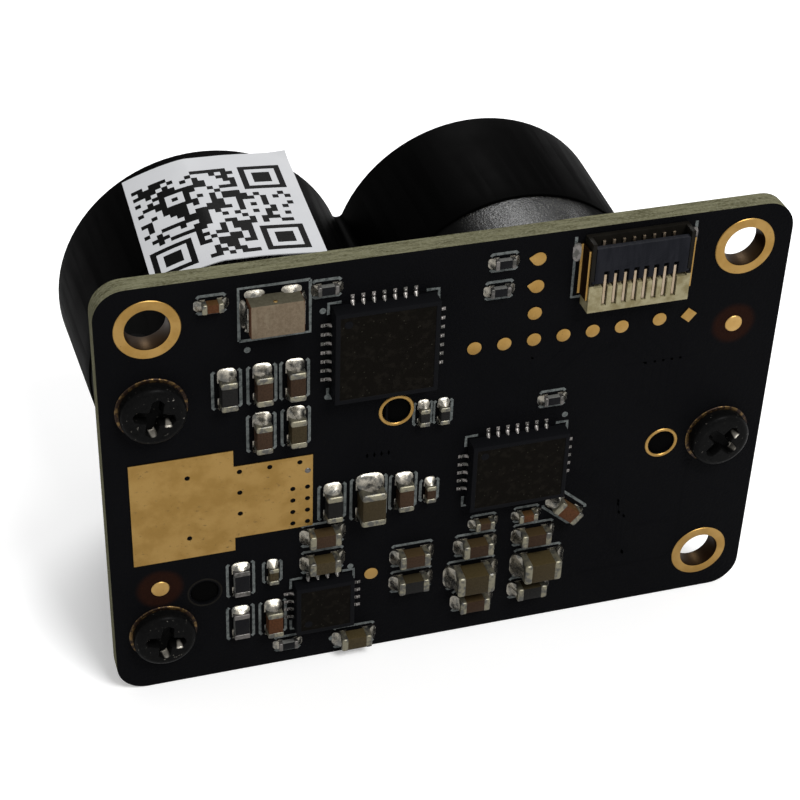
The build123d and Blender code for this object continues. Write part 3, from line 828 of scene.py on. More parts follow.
# the plated gold gets painted shade on its faces across the board
gold = immersion_gold("immersion_gold", (0.31, 0.19, 0.060), painted_side_shade=0.9)
pad_gold = immersion_gold("heat_pad_gold", (0.30, 0.187, 0.060), dirt=0.9)
contact_gold = immersion_gold("contact_gold", (0.42, 0.27, 0.10), dirt=0.2)
spring_metal = immersion_gold("spring_metal", (0.36, 0.29, 0.22), dirt=0.2)
land_copper = tarnished_copper()
tin = bright_tin()
grey_tin = bright_tin("grey_tin", tone=0.11, warmth=0.95)
solder = bright_tin("solder", tone=0.24, lumps=0.05, rough=0.20, warmth=0.84, metal=0.92)
lead_tin = bright_tin("lead_tin", tone=0.16, lumps=0.05, rough=0.24, warmth=0.95, metal=0.7)
# the blasted base has pale specks painted in as highlights
blasted = cast_black("blasted_black", 0.0014, 8.0, 0.035, 0.22, 0.09, painted_glint=0.5)
satin = cast_black("satin_black", 0.0005, 16.0, 0.004, 0.50, 0.003)
ring_black = cast_black("ring_black", 0.004, 14.0, 0.006, 0.35, 0.05)
steel = black_steel()
epoxy = moulded_epoxy()
ceramic = fired_ceramic()
glaze = resistor_glass()
ferrite = pressed_ferrite()
ivory = ivory_nylon()
slate = slate_nylon()
soot = soot_nylon()
ink = printed_ink()
lens_glass = coated_glass("lens_glass", (0.93, 0.95, 0.98))
cover_glass = coated_glass("sensor_cover_glass", (0.9, 0.93, 0.95))
mirror = filter_mirror()
white_ceramic = alumina()
label_film = label_print()

# ==== Board and its copper ====
def ring_profile(outer, inner, copper, through=0.0, wall=0.0):
    """Outline of a copper ring, with a plated barrel through the board where there is one."""
    soft = copper * 0.6
    upper = [(outer, 0.0), (outer, copper - soft), (outer - soft, copper), (inner + soft, copper)]
    if not through:
        return upper + [(inner, copper - soft), (inner, 0.0)]
    bore = inner - wall
    top_lip = [(inner, copper * 0.8), (bore, copper - 0.09)]
    flip = [(radius, -through - height) for radius, height in reversed(upper + top_lip)]
    return upper + top_lip + flip + [(inner - 0.004, -through), (inner - 0.004, 0.0)]


def plate_holes():
    """Gold rings on both faces, joined by a plated wall through each mounting hole."""
    rings = [solid for solid in islands("mounting_hole_rings") if middle_of(solid).z > 0]
    shape = turned(ring_profile(*round_size(rings[0]), board_t, wall=0.03), 72)
    settle_copies("plated_holes", shape, places_of(rings), gold, "gold", "mounting_hole_rings")


def plain_rings(name, node, finish):
    """Copper rings with rounded shoulders."""
    rings = islands(node)
    shape = turned(ring_profile(*round_size(rings[0])), 64)
    settle_copies(name, shape, places_of(rings), finish, "gold", node)


def bare_hole_rim():
    """The third pin hole has no plating, only a thin dark rim where the mask stops."""
    outer, _, _ = round_size(islands("locating_hole_rings")[0])
    rim_w, rim_h = 0.09, 0.02
    shape = turned(ring_profile(outer, outer - rim_w, rim_h), 48)
    settle_copies("bare_hole_rim", shape, [(-12.25, -6.26, 0.0)], soot, "solder_mask")


def teardrop(radius, reach):
    """A round pad with a tail along x that reaches a distance from its middle."""
    bend = degrees(asin(sqrt(1 - (radius / reach) ** 2)))
    outline = arc((0, 0), radius, bend, 360 - bend, 28)
    return outline + [(reach - 0.04, -0.03), (reach - 0.04, 0.03)]


def probe_pads():
    """Round probe pads, some with a short tail where a track joins, and one square pad."""
    random = Random(4)
    solids = islands("test_points")
    pads = [middle_of(solid) for solid in solids]
    radius, _, copper = round_size(solids[0])
    column_x = min(pad.x for pad in pads if pad.y > 7)
    tails = [pad for pad in pads if abs(pad.x - column_x) < 0.1 and pad.y > 8]
    square = [pad for pad in pads if pad.x > 11]
    plain = [pad for pad in pads if pad.y < 0]
    row = [pad for pad in pads if pad not in tails + square + plain]
    diamond = radius * 1.2
    outlines = [
        (teardrop(radius, radius * 1.5), [(pad, pi - 0.2) for pad in tails]),
        (teardrop(radius, radius * 1.12), [(pad, random.choice((0.6, 2.4, 3.9))) for pad in row]),
        (arc((0, 0), radius, 0, 348, 30), [(pad, 0.0) for pad in plain]),
        ([(diamond, 0), (0, diamond), (-diamond, 0), (0, -diamond)], [(pad, 0.1) for pad in square]),
    ]
    meshes = []
    for outline, group in outlines:
        places = [(pad.x, pad.y, turn) for pad, turn in group]
        meshes.append(copies(plate(outline, copper, copper * 0.45), places, gold))
    settle("probe_pads", joined(*meshes), gold, "gold", on_board, stands_for=["test_points"])


def fiducial_dots():
    """Gold alignment dots, slightly domed by their tinning."""
    dots = islands("fiducial_marks")
    radius, _, copper = round_size(dots[0])
    outline = [(0, 0), (radius, 0), (radius, copper * 0.4), (radius * 0.93, copper)]
    outline += [(radius * 0.55, copper * 1.25), (0, copper * 1.35)]
    shape = turned(outline, 40)
    settle_copies("fiducial_dots", shape, places_of(dots), contact_gold, "gold", "fiducial_marks")


def via_solder():
    """Solder that fills one via of the heat pad."""
    _, right_top = box_on_board("heat_spreading_pad")
    drop = [(0, 0), (0.17, 0), (0.17, 0.03), (0.13, 0.075), (0.06, 0.10), (0, 0.105)]
    spot = (right_top.x - 0.25, right_top.y - 1.87, 0.0)
    settle_copies("via_solder_drop", turned(drop, 24), [spot], grey_tin, "tin")


# ---- tracks under the mask ----
track_w = 0.12
track_h = 0.006


def bus(starts, ends, bend, pitch):
    """Runs that leave one row, shift sideways at 45 degrees, and reach another row."""
    runs = []
    for step, ((x0, y0), (x1, y1)) in enumerate(zip(starts, ends)):
        down = -1 if y1 < y0 else 1
        turn_y = bend + down * pitch * step
        runs.append([(x0, y0), (x0, turn_y), (x1, turn_y + down * abs(x1 - x0)), (x1, y1)])
    return runs


def line_of(x, y, step_x, step_y):
    """Five evenly spaced places in a line."""
    return [(x + step_x * step, y + step_y * step) for step in range(5)]


def buried_tracks():
    """Tracks and covered vias that show as faint relief in the mask."""

    def across(node):
        return sorted((middle_of(solid) for solid in islands(node)), key=lambda place: place.x)

    row = [pad for pad in across("test_points") if 5.5 < pad.y < 6.5]
    leads = across("signal_processor_leads")
    top_y = max(lead.y for lead in leads)
    top = [lead for lead in leads if abs(lead.y - top_y) < 0.05]
    tail_y = box_on_board("socket_contacts")[0].y
    tails = [(tail.x, tail_y) for tail in across("socket_contacts")[3:]]
    runs = bus([(p.x, p.y - 0.3) for p in row[:6]], [(t.x, t.y + 0.3) for t in top[2:]], 4.6, -0.16)
    runs += bus(tails, line_of(10.0, 1.2, 0.45, -0.3), 5.1, -0.28)
    runs += bus(line_of(-5.2, 4.1, 0.5, 0), line_of(-4.3, 0.6, 0.36, 0), 3.0, 0.1)
    runs += bus(line_of(6.2, 0.2, 0, -0.5), line_of(8.6, -6.5, 0.3, -0.5), -2.6, -0.22)
    runs += [
        [(3.0, 10.5), (3.45, 10.5)],
        [(3.0, 9.0), (3.45, 9.0)],
        [(-13.0, 3.9), (-12.1, 3.0), (-10.6, 3.0)],
        [(7.6, -9.4), (12.4, -9.4), (13.0, -8.8), (13.0, -3.2)],
        [(-12.6, 8.1), (-12.6, 9.4), (-12.1, 9.9)],
        [(8.9, 3.6), (12.6, 3.6), (13.2, 3.0), (13.2, 1.4)],
        [(9.4, -3.2), (9.4, -5.6), (10.6, -6.8), (12.2, -6.8)],
    ]
    lines = strips(runs, track_w, track_h, masked_copper, ease=0.12)
    ring = turned(ring_profile(0.24, 0.09, track_h * 1.6), 20)
    spots = [run[-1] for run in runs]
    spots += [(6.9, 5.1), (8.2, 4.9), (8.9, 4.6), (-0.6, 9.2), (0.3, 8.4), (0.4, 4.3), (-10.6, 8.4)]
    spots += [(-13.2, 3.6), (-12.6, -9.9), (8.0, -3.0), (7.9, -1.9), (10.1, -8.4), (11.4, -10.2)]
    spots += [(-0.2, -4.0), (-0.1, -9.3)]
    vias = copies(ring, [(x, y, 0.0) for x, y in spots], masked_copper)
    settle("buried_tracks", joined(lines, vias), masked_copper, "solder_mask", on_board)


# ==== Chips, packages and their solder ====
capacitors = ("small_capacitor", "medium_capacitor", "large_capacitor")
chip_kinds = (*capacitors, "small_resistor", "large_resistor")
brown = (0.044, 0.026, 0.0160)
# Capacitors that aren't brown: their tint, and their places on the board.
odd_tints = {
    (0.088, 0.036, 0.016): [(-11.5, 10.5), (-8.85, -8.65), (6.4, -4.65), (4.35, -4.7)],
    (0.0150, 0.0145, 0.0138): [
        (-10.9, 5.75), (-5.85, -1.85), (-1.65, -7.75), (4.8, -9.6), (-1.4, 2.65), (-0.4, 2.6),
    ],
    (0.050, 0.038, 0.020): [
        (-7.65, 3.05), (-4.0, -1.95), (-6.3, -5.45), (-8.85, -5.65), (1.55, -8.0), (5.15, -7.95),
        (-4.6, -10.85),
    ],
}


def chips_of(kind):
    """Places (x, y, turn) of one kind of chip, with its length, width, height and end cap."""
    ends = islands(kind + "_ends")
    places = []
    for body in islands(kind + "_bodies"):
        centre = middle_of(body)
        near = sorted(ends, key=lambda end: (middle_of(end) - centre).length)[:2]
        run = middle_of(near[1]) - middle_of(near[0])
        turn = atan2(run.y, run.x) % pi
        places.append((centre.x, centre.y, 0.0 if turn > pi - 0.01 else turn))
        low, high = span_of(near[0] + near[1], turn)
        end_low, end_high = span_of(near[0], turn)
    size = high - low
    return places, (size.x, size.y, size.z, end_high.x - end_low.x)


def tint_at(x, y, random):
    """Ceramic tint of the body at a place, with a little variation."""
    odd = [tint for tint, spots in odd_tints.items() for a, b in spots if hypot(x - a, y - b) < 0.4]
    share = random.uniform(0.85, 1.15)
    return tuple(part * share for part in (odd or [brown])[0])


def chip_body(length, width, height, cap):
    """Ceramic between the end caps, with softly tumbled edges."""
    soft = min(width, height) * 0.07
    skin = 0.03
    return block((length - 0.5 * cap, width - 2 * skin, height - 2 * skin), soft, foot=skin)


def end_caps(length, width, height, cap):
    """Two dipped metal ends, rounder than the body."""
    bm = bmesh.new()
    soft = min(width, height) * 0.13
    for side in (-1, 1):
        add_to(bm, block((cap, width, height), soft, (side * (length - cap) / 2, 0), segments=3))
    return bm


def fillet_mound(run, width, rise, lump):
    """Solder that climbs an end cap: concave along its run, rounded across, with a soft toe."""

    def point(u, v):
        side = 2 * v - 1
        spread = width / 2 * (1 + 0.10 * sin(pi * u)) * sqrt(max(0.0, 1 - 0.72 * u**5))
        fall = (1 - u) ** 1.7 + 0.16 * sin(pi * u) * lump
        height = rise * fall * (1 - 0.62 * side**2) + 0.045 * (1 - u**3)
        return (u * run, side * spread, max(height, 0.004))

    return grid_solid(14, 12, point)


def chip_solder(length, width, height):
    """Pads and climbing solder at both ends of a chip, and a little up its sides."""
    bm = bmesh.new()
    run = 0.20 + 0.26 * height
    rise = height * 0.78
    for turn in (0.0, pi):
        start = length / 2 - 0.03
        shift = (start * cos(turn), start * sin(turn), 0)
        add_to(bm, fillet_mound(run, width * 1.04, rise, 0.6), turn, shift)
        foot = block((0.26 * length, width + 0.07, 0.04), 0.015, (length / 2 - 0.11 * length, 0))
        add_to(bm, foot, turn)
    return bm


def place_chips():
    """Every chip: bodies and end caps by kind, all solder in one piece."""
    random = Random(11)
    solders = []
    for kind in chip_kinds:
        places, (length, width, height, cap) = chips_of(kind)
        tints, finish, slot, metal = None, glaze, "resistor_black", grey_tin
        if kind in capacitors:
            tints = [tint_at(x, y, random) for x, y, _ in places]
            finish, slot, metal = ceramic, "ceramic_brown", tin
        body = chip_body(length, width, height, cap)
        settle_copies(kind + "_ceramics", body, places, finish, slot, kind + "_bodies", tints=tints)
        ends = end_caps(length, width, height, cap)
        settle_copies(kind + "_caps", ends, places, metal, "tin", kind + "_ends")
        solders.append(copies(chip_solder(length, width, height), places, solder))
    settle("chip_solder", joined(*solders), solder, "tin", on_board, stands_for=["solder_joints"])


# ---- packages: each one's node, and the corner of its first terminal ----
package_corners = {"main_controller": (-1, 1), "signal_processor": (-1, 1), "voltage_regulator": (-1, -1)}


def package_box(node):
    """A package's middle and its size on the board."""
    low, high = box_on_board(node)
    return (low + high) / 2, high - low


def package(node, corner):
    """One moulded body: a shallow panel in its top, with a pin-one dimple in a corner."""
    frame_w, step_w, sunk, dimple_in = 0.24, 0.04, 0.03, 0.62
    middle, size = package_box(node)
    bm = block(size, 0.05)
    tops = [face for face in bm.faces if face.normal.z > 0.99 and face.calc_area() > 1]
    bmesh.ops.inset_region(bm, faces=tops, thickness=frame_w, depth=0.0)
    bmesh.ops.inset_region(bm, faces=tops, thickness=step_w, depth=-sunk)
    panel = bm.verts.layers.float.new("panel")
    for face in tops:
        for vert in face.verts:
            vert[panel] = 1.0
    dimple = turned([(0, 0), (0.20, 0), (0.20, 0.008), (0.16, 0.016), (0, 0.006)], 28)
    x, y = (side * (span / 2 - dimple_in) for side, span in zip(corner, size))
    add_to(bm, dimple, shift=(x, y, size.z - sunk - 0.002))
    settle_copies(node + "_package", bm, [(middle.x, middle.y, 0.0)], epoxy, "package_black", node)


def lead_shape(reach, width, height):
    """A flat terminal along x: solder climbs the package at one end and beads at the other."""
    bm = block((reach + 0.16, width, 0.035), 0.012, (reach / 2, 0))
    add_to(bm, fillet_mound(reach * 0.62, width, height, 0.7), shift=(-0.02, 0, 0))
    bead = turned([(0, 0), (width / 2, 0), (width * 0.45, 0.07), (width * 0.24, 0.105), (0, 0.115)], 16)
    add_to(bm, bead, shift=(reach - width / 2, 0, 0))
    return bm


def package_leads(node):
    """Soldered terminals round one package, each turned outwards."""
    middle, size = package_box(node)
    leads, places = islands(node + "_leads"), []
    for lead in leads:
        spot = middle_of(lead)
        off = spot - middle
        if abs(off.x) / size.x > abs(off.y) / size.y:
            turn = 0.0 if off.x > 0 else pi
            root = (middle.x + size.x / 2 * cos(turn), spot.y)
        else:
            turn = pi / 2 if off.y > 0 else -pi / 2
            root = (spot.x, middle.y + size.y / 2 * sin(turn))
        places.append((*root, turn))
    low, high = span_of(leads[0])
    width, reach = sorted((high.x - low.x, high.y - low.y))
    shape = lead_shape(reach, width * 0.82, high.z)
    settle_copies(node + "_terminals", shape, places, lead_tin, "tin", node + "_leads")


def inductor():
    """Power inductor: pressed block, folded end terminals, solder, and its start mark."""
    middle, size = package_box("power_inductor")
    place = [(middle.x, middle.y, 0.0)]
    body = block(size, 0.07, segments=3)
    settle_copies("inductor_body", body, place, ferrite, "inductor_grey", "power_inductor")
    bm = bmesh.new()
    for turn in (0.0, pi):
        add_to(bm, block((0.10, size.y * 0.74, 0.7), 0.03, (size.x / 2 + 0.03, 0)), turn)
        shift = ((size.x / 2 + 0.05) * cos(turn), 0, 0)
        add_to(bm, fillet_mound(0.24, size.y * 0.8, 0.4, 0.7), turn, shift)
    for side in (-1, 1):
        for across_x in (-0.85, 0.85):
            mound = fillet_mound(0.30, 0.86, 0.17, 0.9)
            add_to(bm, mound, side * pi / 2, (across_x, side * (size.y / 2 - 0.02), 0))
    settle_copies("inductor_ends", bm, place, solder, "tin", "inductor_terminals")
    mark = turned([(0, 0), (0.11, 0), (0.10, 0.02), (0.05, 0.035), (0, 0.04)], 20)
    mark.transform(Matrix.Rotation(radians(-90), 4, "X"))
    spot = (middle.x - 0.05, middle.y + size.y / 2 - 0.01, 0.0, size.z * 0.72)
    settle_copies("inductor_mark", mark, [spot], contact_gold, "gold")


# ---- legend ----
line_w = 0.15
line_h = 0.012


def bracket(length, gap, side):
    """A line beside a chip, with its ends turned in towards the pads."""
    half, edge, hook = length / 2, gap * side, 0.10
    ends = edge - hook * side
    return [(-half, ends), (-half + hook, edge), (half - hook, edge), (half, ends)]


def spun(run, place):
    """A run of points turned and moved to a place."""
    x, y, turn = place
    return [(x + a * cos(turn) - b * sin(turn), y + a * sin(turn) + b * cos(turn)) for a, b in run]


def legend():
    """Printed lines: brackets round the chips, frames round the larger parts, corner marks."""
    runs = []
    for kind in chip_kinds:
        places, (length, width, *_) = chips_of(kind)
        reach = length + (0.5 if length > 1.2 else 0.3)
        gap = width / 2 + (0.26 if length > 1.2 else 0.2)
        for place in places:
            runs += [spun(bracket(reach, gap, side), place) for side in (-1, 1)]
    middle, size = package_box("power_inductor")
    wide, tall = size.x / 2 + 0.40, size.y / 2 + 0.55
    x, y = middle.x + 0.08, middle.y - 0.12
    runs += [
        [(x - wide, y - tall), (x - wide, y + tall), (x + wide, y + tall)],
        [(x + wide, y + tall), (x + wide, y - tall), (x - wide, y - tall)],
    ]
    mark_l = 0.6
    for node in package_corners:
        middle, size = package_box(node)
        half_x, half_y = size.x / 2 + 0.12, size.y / 2 + 0.14
        for a in (-1, 1):
            for b in (-1, 1):
                x, y = middle.x + a * half_x, middle.y + b * half_y
                runs.append([(x - a * mark_l, y), (x, y), (x, y - b * mark_l)])
    low, high = box_on_board("socket_nails")
    left, right, foot, head = low.x - 0.22, high.x + 0.22, low.y - 0.25, high.y + 0.35
    runs += [
        [(left, head), (left, foot), (left + 0.5, foot)],
        [(right, head), (right, foot), (right - 0.5, foot)],
    ]
    lines = strips(runs, line_w, line_h, ink)
    dot = turned([(0, 0), (0.16, 0), (0.15, 0.012), (0, 0.014)], 16)
    spots = [(-9.9, 7.75), (-6.38, 9.28), (-6.12, 4.45), (5.96, 1.21), (-5.77, -10.84), (-4.85, -6.2)]
    dots = copies(dot, [(x, y, 0.0) for x, y in spots], ink)
    settle("legend_lines", joined(lines, dots), ink, "solder_mask", on_board)


# ==== Screws ====
head_seat = 0.05  # height of the head's underside
glint_lips = ((0.72, -0.36), (0.10, -0.84))  # where bright metal highlights are painted on the recess's lips


def recess_off(x, y):
    """Distance outside the cross recess at a point, negative inside."""
    arm_l, arm_w, inner = 1.02, 0.26, 0.20
    a, b = abs(x), abs(y)

    def arm(along, beside):
        return max(along - arm_l + 0.5 * beside, beside - arm_w - 0.08 * (arm_l - along))

    off = min(arm(a, b), arm(b, a))
    if a < arm_w + inner and b < arm_w + inner:
        off = min(off, inner - hypot(arm_w + inner - a, arm_w + inner - b))
    return off


def screw_head_height(radius, x, y, head_r, head_h):
    """Height of a low head with a rounded edge and a wide cross recess at a point."""
    crown, shoulder, rounding = 0.05, 0.34, 0.28
    dome = head_h - crown * (radius / head_r) ** 2
    if radius > head_r - shoulder:
        turn_in = (radius - head_r + shoulder) / shoulder
        dome -= rounding * (1 - sqrt(max(0.0, 1 - turn_in**2)))
    sink = min(max((0.02 - recess_off(x, y)) / 0.12, 0.0), 1.0)
    cone = 0.56 - 0.16 * min(radius, 1.0)
    return dome - cone * sink * sink * (3 - 2 * sink)


def screw_turns(solids):
    """How each screw's cross was left when it was driven home, by its place on the board."""
    lower = min(solids, key=lambda solid: middle_of(solid).y)
    right = max(solids, key=lambda solid: middle_of(solid).x)
    return [radians(44 if s is right else -10 if s is lower else -14) for s in solids]


def screw_vert(bm, radius, angle, head_r, head_h):
    """One vertex of the head's top, marked where it is in the recess, for painted shade, or on a lip, for a
    painted highlight.
    """
    x, y = radius * cos(angle), radius * sin(angle)
    vert = bm.verts.new((x, y, head_seat + screw_head_height(radius, x, y, head_r, head_h)))
    off = recess_off(x, y)
    # painted shade: how deep the point is in the recess
    vert[bm.verts.layers.float["recess"]] = min(max(-off / 0.1, 0.0), 1.0)
    # painted highlight: bright metal on the recess's lips near the given points
    lip = min(hypot(x - lip_x, y - lip_y) for lip_x, lip_y in glint_lips)
    lip_glint = max(0.0, 1 - (lip / 0.17) ** 2) if -0.12 < off < 0.10 else 0.0
    vert[bm.verts.layers.float["lip_glint"]] = lip_glint
    return vert


def screws():
    """Pan head screws with a cross recess, a flat rim and a threaded shank."""
    solids = islands("housing_screws")
    low, high = span_of(solids[0])
    head_r, tip = (high.x - low.x) / 2, low.z
    head_h = high.z - head_seat
    bm = bmesh.new()
    for name in ("recess", "lip_glint"):
        bm.verts.layers.float.new(name)
    rings, steps = 56, 144
    angles = [2 * pi * step / steps for step in range(steps)]
    rows = [[screw_vert(bm, 0, 0, head_r, head_h)]]
    for ring in range(1, rings + 1):
        radius = head_r * ring / rings
        rows.append([screw_vert(bm, radius, angle, head_r, head_h) for angle in angles])
    thread_r, root_r, pitch = 0.99, 0.86, 0.4
    profile = [(head_r, head_seat + 0.05), (head_r - 0.05, head_seat), (thread_r, head_seat)]
    for turn in range(int((head_seat - tip - 0.5) / pitch)):
        top = head_seat - 0.35 - turn * pitch
        profile += [(thread_r, top), (root_r, top - pitch * 0.5)]
    profile += [(root_r, tip + 0.12), (0.72, tip)]
    rows += [ring_of(bm, radius, height, steps) for radius, height in profile]
    skinned(bm, zip(rows, rows[1:]), steps)
    bm.faces.new(rows[-1])
    places = [(x, y, turn) for (x, y, _), turn in zip(places_of(solids), screw_turns(solids))]
    settle_copies("cross_recess_screws", bm, places, steel, "screw_black", "housing_screws")


# ==== Flat cable socket ====
def cut_across(mesh, height, keep_above):
    """The half of a closed mesh above or below a height in the part's frame, closed again."""
    bm = bmesh.new()
    bm.from_mesh(mesh)
    bmesh.ops.remove_doubles(bm, verts=bm.verts, dist=1e-7)
    whole = bm.verts[:] + bm.edges[:] + bm.faces[:]
    side = {"clear_inner": keep_above, "clear_outer": not keep_above}
    plane = {"plane_co": (0, 0, height), "plane_no": (0, 0, 1)}
    bmesh.ops.bisect_plane(bm, geom=whole, dist=1e-7, **plane, **side)
    rim = [edge for edge in bm.edges if len(edge.link_faces) == 1]
    bmesh.ops.triangle_fill(bm, edges=rim, use_beauty=True, use_dissolve=False)
    bm.transform(Matrix.Scale(1 / MM, 4))
    half = as_mesh(bm)
    half.transform(Matrix.Scale(MM, 4))
    return half


def shape_springs(mesh, split):
    """Taper each contact's upper beam: slimmer than its slot, and shorter than the flap's slots."""
    middles = [(on_board @ middle_of(solid)).x for solid in islands("socket_contacts")]
    slim, reach, beam_height = 0.68, 0.50 * MM, 0.60 * MM
    for vert in mesh.vertices:
        middle = min(middles, key=lambda x: abs(vert.co.x - x))
        vert.co.x = middle + (vert.co.x - middle) * slim
        if vert.co.y < board_low.y - beam_height:
            vert.co.z = min(vert.co.z, split + reach)


def cable_socket():
    """Ivory rear block, dark open frame, gold contacts and hold-downs, and the flip lock."""
    body = softened("socket_housing", 0.022)
    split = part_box("socket_flap")[0].z - 0.03 * MM
    block_half, frame_half = cut_across(body, split, False), cut_across(body, split, True)
    settle("socket_block", block_half, ivory, "socket_ivory", stands_for=["socket_housing"])
    settle("socket_frame", frame_half, soot, "flap_dark")
    springs = softened("socket_contacts", 0.015)
    shape_springs(springs, split)
    name = "socket_contact_springs"
    settle(name, springs, spring_metal, "contact_gold", stands_for=["socket_contacts"])
    settle_softened("socket_hold_downs", "socket_nails", 0.02, gold, "contact_gold")
    settle_softened("flip_lock", "socket_flap", 0.025, slate, "flap_dark", body="flap")
    tail_y = box_on_board("socket_contacts")[0].y
    places = [(x, tail_y + 0.22, -pi / 2) for x, _, _ in places_of(islands("socket_contacts"))]
    tail_solder = copies(fillet_mound(0.26, 0.2, 0.12, 0.8), places, lead_tin)
    low, high = box_on_board("socket_nails")
    places = [(low.x, high.y - 0.45, pi), (high.x, high.y - 0.45, 0.0)]
    nail_solder = copies(fillet_mound(0.34, 0.9, 0.16, 1.0), places, grey_tin)
    settle("socket_solder", joined(tail_solder, nail_solder), lead_tin, "tin", on_board)


# ==== Housing and optics ====
def housing():
    """Blasted base with its towers and pins, and the satin barrel that carries the lenses."""
    settle_softened("housing_base", "base_housing", 0.10, blasted, "textured_black", segments=3)
    settle_softened("twin_barrel", "lens_barrel", 0.10, satin, "satin_black", segments=3)


def lens(node, finish):
    """A polished lens turned from its CAD profile: flat edge zone, domed front, ground rim."""
    low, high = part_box(node)
    radius = (high.x - low.x) / 2 / MM
    front, back = high.y / MM, low.y / MM
    crown, dome_r, bevel = 1.5, 5.6, 0.12
    shoulder = front - crown
    sphere = (dome_r**2 + crown**2) / (2 * crown)
    sweep = degrees(asin(dome_r / sphere))
    profile = [(0, back), (radius - bevel, back), (radius, back + bevel)]
    profile += [(radius, shoulder - bevel), (radius - bevel, shoulder), (dome_r, shoulder)]
    profile += arc((0, front - sphere), sphere, 90 - sweep, 90, 24)[1:-1] + [(0, front)]
    mesh = as_mesh(turned(profile, 128))
    settle(node + "_glass", mesh, finish, "lens_glass", along_axis(node), stands_for=[node])


def retaining_rings():
    """Lens rings with softened spanner slots, and the thread that they screw into."""
    nodes = ("transmit_lens_ring", "receive_lens_ring")
    for node in nodes:
        settle_softened(node + "_turned", node, 0.06, ring_black, "ring_black")
    low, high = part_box(nodes[0])
    bore = (high.x - low.x) / 2 / MM + 0.02
    depth, pitch, first, thread_depth = -high.y / MM, 0.35, 0.3, 0.12
    turns = int((depth - 0.35) / pitch)
    profile = []
    for turn in range(turns):
        top = -first - turn * pitch
        crest = (bore - thread_depth, top - pitch * 0.5)
        profile += [(bore + 0.01, top), crest, (bore + 0.01, top - pitch)]
    profile += [(bore + 0.03, -first - turns * pitch), (bore + 0.03, -first)]
    for node in nodes:
        mesh = as_mesh(turned(profile, 128))
        settle(node.replace("_ring", "_thread"), mesh, satin, "satin_black", along_axis(node))


def optoelectronics():
    """Filter, emitter and sensor inside the towers, and the emitter's lid with its window."""
    settle_softened("receive_filter_plate", "receive_filter", 0.05, mirror, "filter_glass")
    settle_softened("emitter_package", "laser_emitter", 0.06, white_ceramic, "ceramic_white")
    settle_softened("sensor_package", "light_sensor", 0.06, epoxy, "package_black")
    settle_softened("sensor_window", "sensor_glass", 0.04, cover_glass, "lens_glass")
    on_emitter = along_axis("laser_emitter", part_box("laser_emitter")[1].y)
    lid = block((2.4, 1.8, 0.12), 0.04)
    add_to(lid, turned([(0.55, 0.1), (0.72, 0.1), (0.70, 0.17), (0.57, 0.17)], 40))
    settle("emitter_lid", as_mesh(lid), contact_gold, "gold", on_emitter)
    pane = turned([(0, 0.10), (0.56, 0.10), (0.56, 0.135), (0, 0.14)], 40)
    settle("emitter_pane", as_mesh(pane), mirror, "filter_glass", on_emitter)


# ==== Label ====
film_t = 0.05
film_w, film_l = 8.78, 9.6
film_front, film_left = -0.97, -4.45
film_twist = radians(-1.6)
barrel_taper = 0.3 / 8.2


def code_label():
    """Stiff printed film on top of the barrel: stuck along the middle, its ends springing up."""
    barrel_low, barrel_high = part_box("lens_barrel")
    rim_r = (barrel_high.z - barrel_low.z) / 2 / MM
    axis_x = barrel_low.x / MM + rim_r
    stuck, left_fall, right_fall = 0.9, 1.06, 0.22
    bend_power, wave_h, glue_t = 1.3, 0.012, 0.035
    hinge_depth = -5.0
    rows, columns = 50, 60

    def curl(s, t):
        """How far the front right corner has lifted."""
        across, along, lift = 0.14, 0.10, 0.12
        reach = max(0.0, s - 1 + across) / across + max(0.0, along - t) / along - 1.0
        return lift * max(0.0, reach) ** 1.5

    def spot(s, t, layer):
        flat_x, flat_y = film_left + film_w * s, film_front - film_l * t - hinge_depth
        along = flat_x * cos(film_twist) - flat_y * sin(film_twist)
        depth = flat_x * sin(film_twist) + flat_y * cos(film_twist) + hinge_depth
        bent = max(0.0, abs(along) - stuck) / (film_w / 2 - stuck)
        fall = (left_fall if along < 0 else right_fall) * bent**bend_power
        wave = wave_h * (1 + sin(7.0 * s + 3.0 * t) * sin(6.0 * t + 1.0))
        height = rim_r + glue_t + barrel_taper * depth - fall + wave + curl(s, t) + layer * film_t
        pulled_in = 0.5 * fall**2 / (film_w / 2)
        return (along + (pulled_in if along < 0 else -pulled_in), depth, height)

    bm = bmesh.new()
    uv = bm.loops.layers.uv.new("print")
    printed = bm.verts.layers.float.new("printed")
    sheet = {}
    for layer in (0, 1):
        for row in range(rows + 1):
            for column in range(columns + 1):
                vert = bm.verts.new(spot(column / columns, row / rows, layer))
                vert[printed] = float(layer)
                sheet[layer, row, column] = vert

    def quad(corners):
        face = bm.faces.new([sheet[corner] for corner in corners])
        for loop, (_, row, column) in zip(face.loops, corners):
            loop[uv].uv = (column / columns, row / rows)

    for row in range(rows):
        for column in range(columns):
            spots = [(row, column), (row + 1, column), (row + 1, column + 1), (row, column + 1)]
            quad([(1, *spot) for spot in spots])
            quad([(0, *spot) for spot in reversed(spots)])
    rim = [(0, c) for c in range(columns)] + [(r, columns) for r in range(rows)]
    rim += [(rows, c) for c in range(columns, 0, -1)] + [(r, 0) for r in range(rows, 0, -1)]
    for first, second in zip(rim, rim[1:] + rim[:1]):
        quad([(1, *first), (1, *second), (0, *second), (0, *first)])
    mesh = as_mesh(bm, sharp_from=60)
    place = placed(axis_x * MM, 0, 0, 0)
    settle("code_label_film", mesh, label_film, "label_film", place, stands_for=["code_label"])


